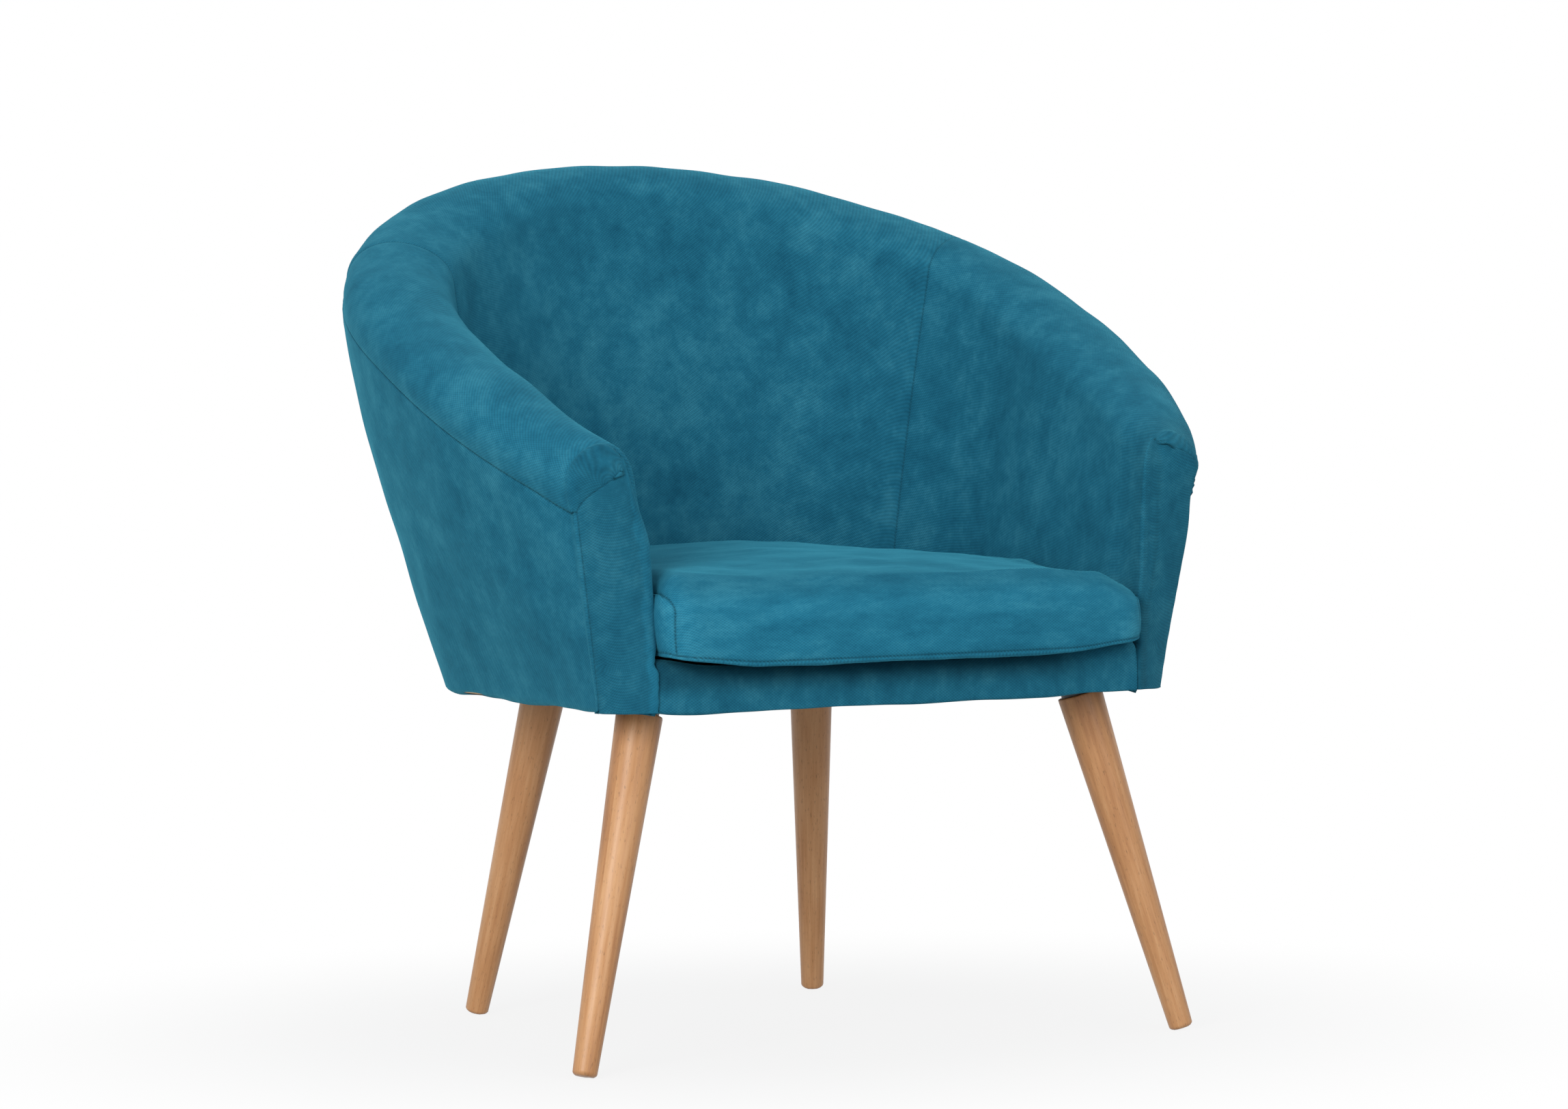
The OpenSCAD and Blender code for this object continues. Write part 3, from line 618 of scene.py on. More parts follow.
@dataclass(frozen=True)
class Mottled:
    """A plain material of the hidden pieces: two tones by noise, with relief of its own size."""

    name: str
    dark: Colour
    light: Colour
    scale: float
    stretch: Colour = (1, 1, 1)
    roughness: float = 0.8
    metallic: float = 0.0
    depth: float = 0.1

    def material(self) -> Material:
        """Makes the material: noise of that scale and stretch gives both its tone and its relief.

        Returns:
            The material.
        """
        g = Finish(self.name)
        where = g.place("object", self.stretch)
        coarse = g.noise(where, self.scale, 5.0, 0.6)
        fine = g.noise(where, self.scale * 7, 3.0)
        tone = g.scaled(coarse, 0.6, g.scaled(fine, 0.4))
        g.relief(tone, self.depth)
        return g.finish(g.ramp(tone, [(0.35, self.dark), (0.65, self.light)]), Roughness=self.roughness,
                        Metallic=self.metallic)


PLYWOOD = Mottled("plywood", (0.38, 0.24, 0.12), (0.62, 0.44, 0.26), 55, (0.25, 0.25, 9.0), 0.65, 0.0, 0.15)
LINING_BOARD = Mottled("lining_board", (0.10, 0.062, 0.038), (0.2, 0.13, 0.08), 160, (1, 1, 1),
                       0.85, 0.0, 0.08)
FOAM = Mottled("foam", (0.62, 0.53, 0.27), (0.82, 0.74, 0.44), 420, (1, 1, 1), 0.95, 0.0, 0.5)
SPRING_STEEL = Mottled("spring_steel", (0.11, 0.11, 0.115), (0.24, 0.24, 0.25), 90, (1, 1, 1),
                       0.38, 0.9, 0.03)
DECK_FELT = Mottled("deck_cloth", (0.008, 0.008, 0.009), (0.03, 0.03, 0.032), 700, (1, 1, 1), 0.95, 0.0, 0.2)
DUST_CLOTH = Mottled("dust_cloth", (0.006, 0.006, 0.006), (0.02, 0.02, 0.021), 900, (1, 1, 1), 0.9, 0.0, 0.12)
BLACK_PAINT = Mottled("black_paint", (0.010, 0.010, 0.011), (0.022, 0.022, 0.024), 240, (1, 1, 1),
                      0.42, 0.0, 0.05)
ZINC = Mottled("zinc", (0.42, 0.43, 0.44), (0.62, 0.62, 0.61), 320, (1, 1, 1), 0.34, 1.0, 0.02)


@dataclass(frozen=True)
class Plan:
    """A plan curve: half width, reach to the back, tip's x and y, y of the widest point, roundness."""

    half: float
    reach: float
    tip_x: float
    tip_y: float
    mid: float
    roundness: float
    side_share: float = 0.62
    draw: float = 2.5

    def at(self, s: Array) -> Array:
        """Gives the curve's points: a rounded back up to side_share, then sides that draw in to the tips.

        The back is (half sin^p, mid + reach cos^p), and the sides' x falls by (half - tip_x) u^draw.

        Args:
            s: shares of the way round, from -1 at the left tip to 1 at the right one.

        Returns:
            The points' x and y.
        """
        t = np.abs(s)
        turn = np.minimum(t / self.side_share, 1.0) * math.pi / 2
        u = np.clip((t - self.side_share) / (1 - self.side_share), 0.0, None)
        back = np.stack([self.half * signed_power(np.sin(turn), self.roundness),
                         self.mid + self.reach * signed_power(np.maximum(np.cos(turn), 0),
                                                              self.roundness)], -1)
        side = np.stack([self.half - (self.half - self.tip_x) * u ** self.draw,
                         self.mid + (self.tip_y - self.mid) * u], -1)
        xy = np.where((t < self.side_share)[..., None], back, side)
        return xy * np.stack([np.where(s < 0, -1.0, 1.0), np.ones_like(t)], -1)


@dataclass(frozen=True)
class Shell:
    """Sizes of the upholstered shell in millimetres, and the surfaces that they give."""

    rim: Plan = Plan(377.0, 311.0, 311.0, -273.0, 5.0, 0.872)
    base: Plan = Plan(278.0, 224.0, 279.5, -247.5, 6.0, 0.707)
    inside: Plan = Plan(278.0, 223.0, 247.0, -279.0, -3.0, 0.885)
    well: Plan = Plan(243.0, 175.0, 242.0, -279.5, -3.0, 0.75)
    back_h: float = 806.0
    arm_h: float = 541.0
    under_h: float = 315.0
    deck_z: float = 360.0
    tip: float = 0.986
    hidden_tip: float = 0.985
    swell: float = 8.0

    def even(self, low: float, high: float, shares: Array) -> Array:
        """Gives stations between low and high at shares of the distance along the rim.

        Args:
            low: the first station.
            high: the last station.
            shares: shares from 0 to 1.

        Returns:
            The stations.
        """
        s = np.linspace(low, high, 900)
        walked = distances(self.rim.at(s))
        return np.interp(shares * walked[-1], walked, s)

    def crest(self, s: Array) -> Array:
        """Gives the rim's height: it rises with the rim's y, with a dip before the back.

        The share of the rise is v - 0.6 v^6 (1 - v), v being the share of the way from the tips to the back.

        Args:
            s: stations.

        Returns:
            The heights in millimetres.
        """
        rim = self.rim
        v = np.maximum(0, rim.at(s)[..., 1] - rim.tip_y) / (rim.mid + rim.reach - rim.tip_y)
        return self.arm_h + (self.back_h - self.arm_h) * (v - 0.6 * v ** 6 * (1 - v))

    def rise(self, s: Array) -> Array:
        """Gives the height of the rim's rounded roll."""
        return mix(44.0, 34.0, np.abs(s))

    def shoulder(self, s: Array) -> Array:
        """Gives the level at which the roll starts."""
        return self.crest(s) - self.rise(s)

    def seam_level(self, s: Array) -> Array:
        """Gives the level of the rim's outer seam, which drops a little more at the very tips."""
        return self.crest(s) - mix(45.0, 56.0, np.abs(s)) - 2.5 * self.near_tip(s)

    def near_tip(self, s: Array) -> Array:
        """Gives how near stations are to their tip: 0 up to 0.93, then softly up to 1 at 0.98."""
        return ease((np.abs(s) - 0.93) / 0.05)

    def outwards(self, s: Array) -> Array:
        """Gives the plan's outward direction, square to the rim."""
        step = self.rim.at(s + 0.01) - self.rim.at(s - 0.01)
        return unit(np.stack([-step[..., 1], step[..., 0]], -1))

    def outer(self, s: Array, z: Array) -> Array:
        """Gives the outer face's x and y: straight from base to rim, plus a swell that peaks high up.

        The right arm's front end is drawn in by 4 mm along the rim's seam.

        Args:
            s: stations.
            z: levels.

        Returns:
            The points' x and y.
        """
        q = (z - self.under_h) / (self.shoulder(s) - self.under_h)
        bulge = self.swell * np.maximum(0, 1 - np.abs(s) ** 4) * np.sin(math.pi * np.clip(q, 0, 1) ** 1.6)
        drawn = 4.0 * ease((s - 0.82) / 0.13) * bell(z - self.seam_level(s) - 3.0, 23.0)
        return (mix(self.base.at(s), self.rim.at(s), q[..., None])
                + self.outwards(s) * (bulge - drawn)[..., None])

    def inner(self, s: Array, z: Array) -> Array:
        """Gives the inner face's x and y: straight from the seat's well to the inside of the rim."""
        q = np.maximum(0, (z - self.deck_z) / (self.shoulder(s) - self.deck_z))
        return mix(self.well.at(s), self.inside.at(s), q[..., None])

    def inwards(self, s: Array, z: Array) -> Array:
        """Gives the plan's direction from the outer face to the inner one."""
        return unit(self.inner(s, z) - self.outer(s, z))

    def under_skin(self, s: Array, z: Array, depth: Array | float) -> Array:
        """Gives points at a depth under the outer face, which is drawn in where the cover is tucked."""
        return raised(self.outer(s, z) + self.inwards(s, z) * (depth + self.tuck(s, z))[..., None], z)

    def tuck(self, s: Array, z: Array) -> Array:
        """Gives how far the cover is pulled in over the frame's lower edge behind the arms.

        Args:
            s: stations.
            z: levels.

        Returns:
            The distances in millimetres.
        """
        behind = 1 - ease((np.abs(s) - 0.6) / 0.3)
        return behind * (4.6 * np.clip((400.0 - z) / 82.0, 0, 1) ** 1.5
                         + 5.0 * np.clip((321.0 - z) / 6.0, 0, 1) ** 2)

    def plump(self, s: Array, a: Array, z: Array) -> Array:
        """Gives how far the padding swells inwards behind an arm's front edge, or draws back where negative.

        Args:
            s: stations.
            a: places across the arm, from 0 at the outer face to 1 at the inner one.
            z: levels.

        Returns:
            The distances in millimetres.
        """
        front, across = ease((np.abs(s) - 0.84) / 0.13), np.clip(a, 0, 1)
        left = 3.2 * ease((z - 350.0) / 25.0) * (1 - ease((z - 505.0) / 40.0)) * across ** 3
        left = left - 9.0 * ease((z - 455.0) / 65.0) * across ** 1.5
        right = -5.0 * ease((np.abs(s) - 0.87) / 0.11) * ease((z - 372.0) / 40.0) * across ** 3
        return front * np.where(s < 0, left, right)

    def section(self, s: Array, q: Array, low: Array, inset: float = 0.0) -> Array:
        """Gives points of the padded cover from the rim's outer seam (q = 0) to the inside's foot (q = 3).

        From 0 to 1 the point climbs the outer face to the shoulder, from 1 to 2 it goes over the roll, a half
        ellipse that leans outwards at the back and inwards at the tips, and from 2 to 3 it goes down the
        inner face.

        Args:
            s: stations, in the grid's shape.
            q: places on the section, in the grid's shape.
            low: lowest level of the inside, in the grid's shape.
            inset: how far the whole section is drawn in, in millimetres.

        Returns:
            The grid of points.
        """
        top = self.shoulder(s)
        climb = mix(self.seam_level(s), top, np.clip(q, 0, 1))
        fall = mix(top, low, np.clip(q - 2, 0, 1))
        out_xy, in_xy = self.outer(s, climb), self.inner(s, fall)
        across = self.inwards(s, top)
        out_xy, in_xy = out_xy + across * inset, in_xy - across * inset
        turn = np.clip(q - 1, 0, 1) * math.pi
        a = (1 - np.cos(turn)) / 2
        xy = mix(out_xy, in_xy, a[..., None])
        lean = mix(-0.154, 0.144, np.abs(s) ** 4)
        roll_z = (self.rise(s) - inset) * np.sin(turn) * (1 - lean * np.cos(turn))
        z = np.where(q < 1, climb, np.where(q > 2, fall, top + roll_z))
        return raised(xy, z)


@dataclass(frozen=True)
class Dart:
    """A short dart on an arm's end: how far across it reaches, how high it rises, and how it bends."""

    across: float
    rise: float
    run_power: float
    rise_power: float


class ArmEnd:
    """The front of an arm, where the inner cover wraps round the edge and a short dart shapes the roll.

    Places on it are (a, z): a goes from 0 at the outer face to 1 at the inner one. The cover stands forward
    of the arm's end by a quarter circle of the distance from its outline. SEAM_IN is how far the outer seam
    lies from the outer face, and DART_ROW the place on the section that meets the dart's tip.
    """

    SEAM_IN = 3.5
    DART_ROW = 1.7
    ROLL_H = 34.2
    LEAN = 0.144
    STAND = 12.0
    CROWN = 2.0
    ROLL_POINTS = 90
    FACE_POINTS = 110

    def __init__(self, shell: Shell, side: float) -> None:
        """Works out the outline of the arm's end on that side, -1 left or 1 right.

        Args:
            shell: the shell's surfaces.
            side: -1 for the left arm, 1 for the right one.
        """
        self.shell, self.side = shell, side
        self.dart = Dart(0.77, 32.0, 1.25, 0.75) if side < 0 else Dart(0.77, 48.0, 1.9, 0.34)
        self.station = np.array(side * shell.tip)
        self.top = float(shell.shoulder(self.station))
        self.junction = float(shell.seam_level(self.station))
        turn = np.linspace(0, math.pi, self.ROLL_POINTS)
        a = (1 - np.cos(turn)) / 2
        roll_z = self.top + self.ROLL_H * np.sin(turn) * (1 - self.LEAN * np.cos(turn))
        roll = np.stack([a * self.width(self.top), roll_z], -1)
        z = np.linspace(shell.under_h, self.top, self.FACE_POINTS)
        inner = np.stack([self.width(z), z], -1)
        outer = np.stack([np.zeros_like(z), z], -1)
        self.outline = np.concatenate([roll, inner, outer])
        edge = mix(2.5, 18.0, ease((z - 350.0) / 40.0))
        self.reach = np.concatenate([mix(10.0, 18.0, ease(a * 3)), edge, np.full(self.FACE_POINTS, 9.0)])

    def width(self, z: Array | float) -> Array:
        """Gives the distance between the two faces at a level.

        Args:
            z: levels.

        Returns:
            The distances in millimetres.
        """
        z = np.minimum(np.asarray(z, float), self.top)
        s = np.broadcast_to(self.station, z.shape)
        return np.linalg.norm(self.shell.inner(s, z) - self.shell.outer(s, z), axis=-1)

    def forward(self, a: Array, z: Array) -> Array:
        """Gives how far the cover stands forward: STAND by a quarter circle, plus CROWN towards the middle.

        Args:
            a: places across the arm's end.
            z: levels.

        Returns:
            The distances in millimetres.
        """
        here = np.stack([a * self.width(z), z], -1).reshape(-1, 1, 2)
        share = (np.linalg.norm(here - self.outline[None], axis=-1) / self.reach).min(1).reshape(np.shape(a))
        edge = np.clip(share, 0, 1)
        return self.STAND * np.sqrt(1 - (1 - edge) ** 2) + self.CROWN * (1 - bell(share, 1.6))

    def place(self, a: Array, z: Array) -> Array:
        """Gives the points at places (a, z), standing forward of the straight line between the two faces.

        Args:
            a: places across the arm's end.
            z: levels.

        Returns:
            The points.
        """
        low = np.minimum(z, self.top)
        s = np.broadcast_to(self.station, low.shape)
        start, end = self.shell.outer(s, low), self.shell.inner(s, low)
        way = unit(end - start)
        ahead = np.stack([-way[..., 1], way[..., 0]], -1)
        ahead = np.where(ahead[..., 1:] > 0, -ahead, ahead)
        ahead = unit(mix(ahead, np.array([0.0, -1.0]), np.clip(a, 0, 1)[..., None]))
        aside = 4.5 * np.clip(a, 0, 1) ** 4 * ease((356.0 - z) / 8.0) + self.shell.plump(self.station, a, z)
        xy = mix(start, end, a[..., None]) + ahead * self.forward(a, z)[..., None] + way * aside[..., None]
        return raised(xy, z)

    def seam_a(self, z: Array) -> Array:
        """Gives the outer seam's place across the arm's end, SEAM_IN in from the outer face."""
        return self.SEAM_IN / self.width(z)

    def sewn_edge(self, q: Array, z: Array) -> tuple[Array, Array]:
        """Gives where each row of the inner cover ends: on a side of the dart or on the outer seam.

        Rows end on the dart at their own level, where the dart has that level, and spread evenly over the
        rest of it.

        Args:
            q: the rows' places on the section.
            z: the rows' levels where they reach the arm's end.

        Returns:
            The places (a, z) of the rows' ends.
        """
        dart, last = self.dart, self.DART_ROW
        level = np.where(q < 1, mix(self.junction, self.top, np.clip(q, 0, 1)), np.minimum(z, self.top))
        share = np.clip((level - self.junction) / dart.rise, 0, 1) ** (1 / dart.rise_power)
        turn = ((self.top - self.junction) / dart.rise) ** (1 / dart.rise_power)
        share = np.where((q > 1) & (q <= last), mix(turn, 1.0, (q - 1) / (last - 1)), share)
        share = np.where((q > last) & (q < 2), mix(1.0, turn, (q - last) / (2 - last)), share)
        start = float(self.seam_a(np.array(self.junction)))
        a = mix(start, dart.across, share ** dart.run_power)
        below = (q > 2) & (z < self.junction)
        return (np.where(below, self.seam_a(np.minimum(z, self.junction)), a),
                np.where(below, z, self.junction + dart.rise * share ** dart.rise_power))


@dataclass
class Tub:
    """The shell's covers and padding.

    PUFF is how far the roll is stuffed at the stations PUFF_AT. The names in STEPS count the grids' steps,
    and SOFTENED counts the rows before and after an arm's front edge whose crease is softened. Lengths are in
    millimetres.
    """

    PUFF_AT = (-1.0, -0.9, -0.7, -0.55, -0.5, -0.45, -0.4, -0.35, -0.3, -0.2, -0.14, -0.04, 0.04, 0.12, 0.22,
               0.38, 0.45, 0.52, 0.58, 0.7, 0.78, 0.85, 0.92, 1.0)
    PUFF = (1.0, 1.2, 0.6, -1.5, -2.0, -3.0, -3.2, -0.4, 2.8, 2.7, 2.4, -1.2, -2.4, -2.4, 1.0, 1.9,
            -0.2, -1.8, -1.2, 2.4, 0.0, 1.8, 4.6, 1.4)
    WALL_STEPS = 120
    FRONT_STEPS = 40
    HEM_IN = 8.0
    HEM_BACK = 17.0
    HEM_OUT = 273.0
    HEM_FRONT = -238.0
    FOLD = 5.5
    PANEL_FOOT = 350.0
    FOAM_FOOT = 353.0
    FOAM_T = 17.0
    BOARD_T = 2.6
    BACK_STEPS = 170
    FOAM_STEPS = 160
    BOARD_STEPS = 120
    ROUND_STEPS = 330
    CLIMB_STEPS = 76
    WRAP_STEPS = 7
    SOFTENED = (17, 29)
    LOWEST = 313.1

    shell: Shell
    velvet: Material
    foam: Material
    cover: float = 2.0
    rows: Array = field(default_factory=lambda: np.concatenate(
        [np.linspace(0, 1, 7)[:-1] ** 1.5, np.linspace(1, 2, 35)[:-1], 2 + crowded(70, 0.3)]))

    def back_seam(self, q: Array) -> Array:
        """Gives the station of the seams beside the back panel, which slant inwards towards the seat."""
        return mix(0.425, 0.352, np.clip(q - 2, 0, 1))

    def puff(self, s: Array, q: Array) -> Array:
        """Gives how far the roll is stuffed beyond its plain section, unevenly, as by hand.

        The right arm's tip is stuffed only above its shoulder.

        Args:
            s: stations.
            q: places on the section.

        Returns:
            The distances in millimetres.
        """
        size = np.interp(s, self.PUFF_AT, self.PUFF)
        start = 0.4 * ease((s - 0.8) / 0.1)
        return size * np.sin(math.pi * np.clip((q - start) / (1.85 - start), 0, 1)) ** 1.4

    def build(self) -> None:
        """Builds the covers and the padding under them."""
        self.back_cover()
        for side in (-1.0, 1.0):
            self.arm_cover(side)
        self.outer_cover()
        self.padding()

    def padded_grid(self, s: Array, q: Array, low: Array) -> Array:
        """Gives the inner cover's points with its roll stuffed and its creases softened.

        Args:
            s: stations, in the grid's shape.
            q: places on the section, in the grid's shape.
            low: lowest level of the inside, in the grid's shape.

        Returns:
            The grid of points.
        """
        grid = self.shell.section(s, q, low)
        grid[..., :2] -= self.shell.outwards(s) * self.shell.plump(s, over_roll(q), grid[..., 2])[..., None]
        grid = relaxed(grid, 5, 1)
        return grid + facing_out(grid, bool(s[-1, 0] > s[0, 0])) * self.puff(s, q)[..., None]

    def back_cover(self) -> None:
        """Builds the back panel, between its two slanting seams."""
        q = np.broadcast_to(self.rows, (self.BACK_STEPS + 1, len(self.rows)))
        share = (crowded(self.BACK_STEPS) * 2 - 1)[:, None]
        cloth = Cloth(self.padded_grid(share * self.back_seam(q), q, np.full(q.shape, self.PANEL_FOOT)),
                      flip=True)
        along, down = steps_along(cloth.grid, 0), steps_along(cloth.grid, 1)
        cloth.upholster([(along, 0.45), (along[-1:] - along, 0.45), (down, 0.8)], 11)
        self.hang(cloth.make("back_cover", self.cover), "inner_cover_back")

    def arm_cover(self, side: float) -> None:
        """Builds an arm's cover: down the inside and round the front edge to the outer seam and its own dart.

        Args:
            side: -1 for the left arm, 1 for the right one.
        """
        end, wall_rows = ArmEnd(self.shell, side), self.WALL_STEPS + 1
        q = np.broadcast_to(self.rows, (wall_rows, len(self.rows)))
        t = crowded(self.WALL_STEPS, 0.8)[:, None]
        s = side * mix(self.back_seam(q), self.shell.tip, t)
        near_tip = self.shell.near_tip(s)
        low = mix(self.PANEL_FOOT, self.shell.under_h, near_tip)
        wall = self.padded_grid(s, q, low)
        rim = self.shell.section(s[-1:], q[-1:], low[-1:])[0]
        last_a, last_z = end.sewn_edge(q[0], rim[:, 2])
        w = crowded(self.FRONT_STEPS, 0.88)[1:, None]
        a, z = mix(over_roll(q[0]), last_a, w), mix(rim[:, 2], last_z, w)
        front = end.place(a, z)
        shift = (wall[-1] - rim)[None] * (1 - ease(w * 3.0))[..., None]
        grid = np.concatenate([wall, front + shift])
        first, last = wall_rows - self.SOFTENED[0], wall_rows + self.SOFTENED[1]
        grid[first:last] = relaxed(grid[first - 1:last + 1], 4, 0)[1:-1]
        hem = self.hem(grid[:, -1], side, near_tip[:, -1])
        cloth = Cloth(settled(np.concatenate([grid, hem[:, None]], 1)), flip=side > 0)
        along, down = steps_along(cloth.grid, 0), steps_along(cloth.grid, 1)
        # painted shade on the right arm's wall next to its front edge, dimming the highlight its rounded edge
        # catches; the front gets its own painted light and shade
        cloth.nap = np.zeros(along.shape)
        cloth.nap[:wall_rows] = -0.17 * (side > 0) * ease((t - 0.88) / 0.11)
        cloth.nap[wall_rows:, :-1] = self.front_painted_light(side, a, front)
        places = np.append(self.rows, 3.0)
        edge = mix(0.42, 0.6, ease((places - 2) / 0.2)) - 0.3 * bell(places - end.DART_ROW, 0.07)
        cloth.upholster([(along, 0.45), (along[-1:] - along, edge), (down, 0.8)], 21 if side < 0 else 31)
        name = "left" if side < 0 else "right"
        self.hang(cloth.make(f"arm_cover_{name}", self.cover), f"inner_cover_{name}", f"arm_facing_{name}")

    def hem(self, foot: Array, side: float, near_tip: Array) -> Array:
        """Gives the edge of an arm's cover that is turned in under the frame's corner.

        Args:
            foot: the cover's lowest points, first down the inside and then across the front.
            side: -1 for the left arm, 1 for the right one.
            near_tip: how near the inside's points are to the front, from 0 to 1.

        Returns:
            The edge's points.
        """
        hem, inside = foot.copy(), len(near_tip)
        corner = hem[inside - 1] + np.array([side * self.HEM_IN, self.HEM_BACK, 0.0])
        hem[:inside, 0] += side * self.HEM_IN * near_tip
        hem[:inside, 1] = np.maximum(hem[:inside, 1], corner[1])
        hem[inside:, 0] = side * np.clip(np.abs(hem[inside:, 0]), abs(corner[0]), self.HEM_OUT)
        hem[inside:, 1] = np.maximum(hem[inside:, 1] + self.HEM_BACK, self.HEM_FRONT)
        hem[:inside, 2] += mix(-2.0, 0.3, near_tip)
        hem[inside:, 2] += 0.3
        return hem

    def front_painted_light(self, side: float, a: Array, front: Array) -> Array:
        """Gives the painted light and shade on an arm's front: painted shade makes it darker than the rest,
        and a painted sheen makes it paler by the left arm's inner edge.

        The right arm's inner edge gets more painted shade, over the highlight that its rounded edge catches.

        Args:
            side: -1 for the left arm, 1 for the right one.
            a: places across the front.
            front: the front's points.

        Returns:
            How much lighter the velvet is painted, as a share.
        """
        wavy = 0.012 * ripple(front, 14, 91) + 0.012 * ripple(front, 45, 92)
        if side < 0:
            # left arm: painted shade across the front, and a painted sheen in a wavy band by the inner edge
            return mix(-0.17, 0.09, ease((a - 0.8 + wavy) / 0.06)) * ease(a / 0.12)
        # right arm: painted shade, deeper towards the inner edge
        return (-0.13 - 0.16 * ease((a - 0.7) / 0.16)) * ease(a / 0.12)

    def outer_cover(self) -> None:
        """Builds the outside cover, turned in under the frame and round the arms' front edges."""
        shell = self.shell
        s = shell.even(-shell.tip, shell.tip, crowded(self.ROUND_STEPS, 0.9))[:, None]
        bend = np.linspace(0, math.pi / 2, 6)[None]
        climb = crowded(self.CLIMB_STEPS, 0.8)[None, 1:]
        inset = np.concatenate([[[7.0]], self.FOLD * (1 - np.sin(bend)), np.zeros_like(climb)], 1)
        folded = np.concatenate([[[shell.under_h]], shell.under_h + self.FOLD * (1 - np.cos(bend))], 1)
        z = np.concatenate([np.repeat(folded, len(s), 0),
                            mix(shell.under_h + self.FOLD, shell.seam_level(s), climb)], 1)
        s = np.broadcast_to(s, z.shape)
        grid, away = shell.under_skin(s, z, inset), shell.inwards(s, z)
        ends = []
        for side, row in ((-1.0, 0), (1.0, -1)):
            end = ArmEnd(shell, side)
            w = np.linspace(0, 1, self.WRAP_STEPS + 1)[1:, None]
            wrap = end.place(w * end.seam_a(z[row]), np.repeat(z[row][None], len(w), 0))
            wrap[..., :2] += away[row] * (inset[0] * (1 - w))[..., None]
            wrap[..., 1] += inset[0] * w
            ends.append(wrap)
        grid = settled(np.concatenate([ends[0][::-1], grid, ends[1]]))
        cloth = Cloth(grid, flip=True)
        along, down = steps_along(grid, 0), steps_along(grid, 1)
        cloth.upholster([(along, 0.5), (along[-1:] - along, 0.5), (down[:, -1:] - down, 0.7)], 41)
        corner = bell(np.minimum(along, along[-1:] - along), 9.0)
        cloth.grid[..., 2] = np.maximum(cloth.grid[..., 2], self.LOWEST + 2.6 * corner)
        self.hang(cloth.make("outer_cover_cloth", self.cover), "outer_cover")
        self.lining()

    def lining(self) -> None:
        """Builds the outer lining board, which stops above the rails where the cover is pulled in."""
        shell = self.shell
        s = np.linspace(-shell.hidden_tip, shell.hidden_tip, self.BOARD_STEPS + 1)[:, None]
        low = mix(317.8, 348.0, ease((shell.tuck(s, np.full_like(s, 318.0)) - 0.2) / 1.5))
        z = mix(low, shell.seam_level(s) - 1.5, np.linspace(0, 1, 25)[None])
        s = np.broadcast_to(s, z.shape)
        board = Cloth(shell.under_skin(s, z, 2.8), flip=True).make("outer_board", self.BOARD_T)
        fit(board, LINING_BOARD.material(), "lining_board", "outer_lining")

    def padding(self) -> None:
        """Builds the foam under the inner cover, drawn in by the cover's thickness."""
        rows = self.rows[::2]
        s = np.linspace(-0.98, 0.98, self.FOAM_STEPS + 1)[:, None]
        q = np.broadcast_to(rows, (len(s), len(rows)))
        grid = self.shell.section(np.broadcast_to(s, q.shape), q, np.full(q.shape, self.FOAM_FOOT), FOAM_IN)
        drawn = np.minimum(0.0, self.shell.plump(s, over_roll(q), grid[..., 2]))
        grid[..., :2] -= self.shell.outwards(s) * drawn[..., None]
        foam = Cloth(relaxed(grid, 3, 1), flip=True).make("shell_foam", self.FOAM_T)
        fit(foam, self.foam, "foam", "tub_foam", fill=1.0)

    def hang(self, piece: Piece, *nodes: str) -> None:
        """Dresses a cover in velvet and puts it in the place of its nodes."""
        fit(piece, self.velvet, "velvet", *nodes, fill=0.9)


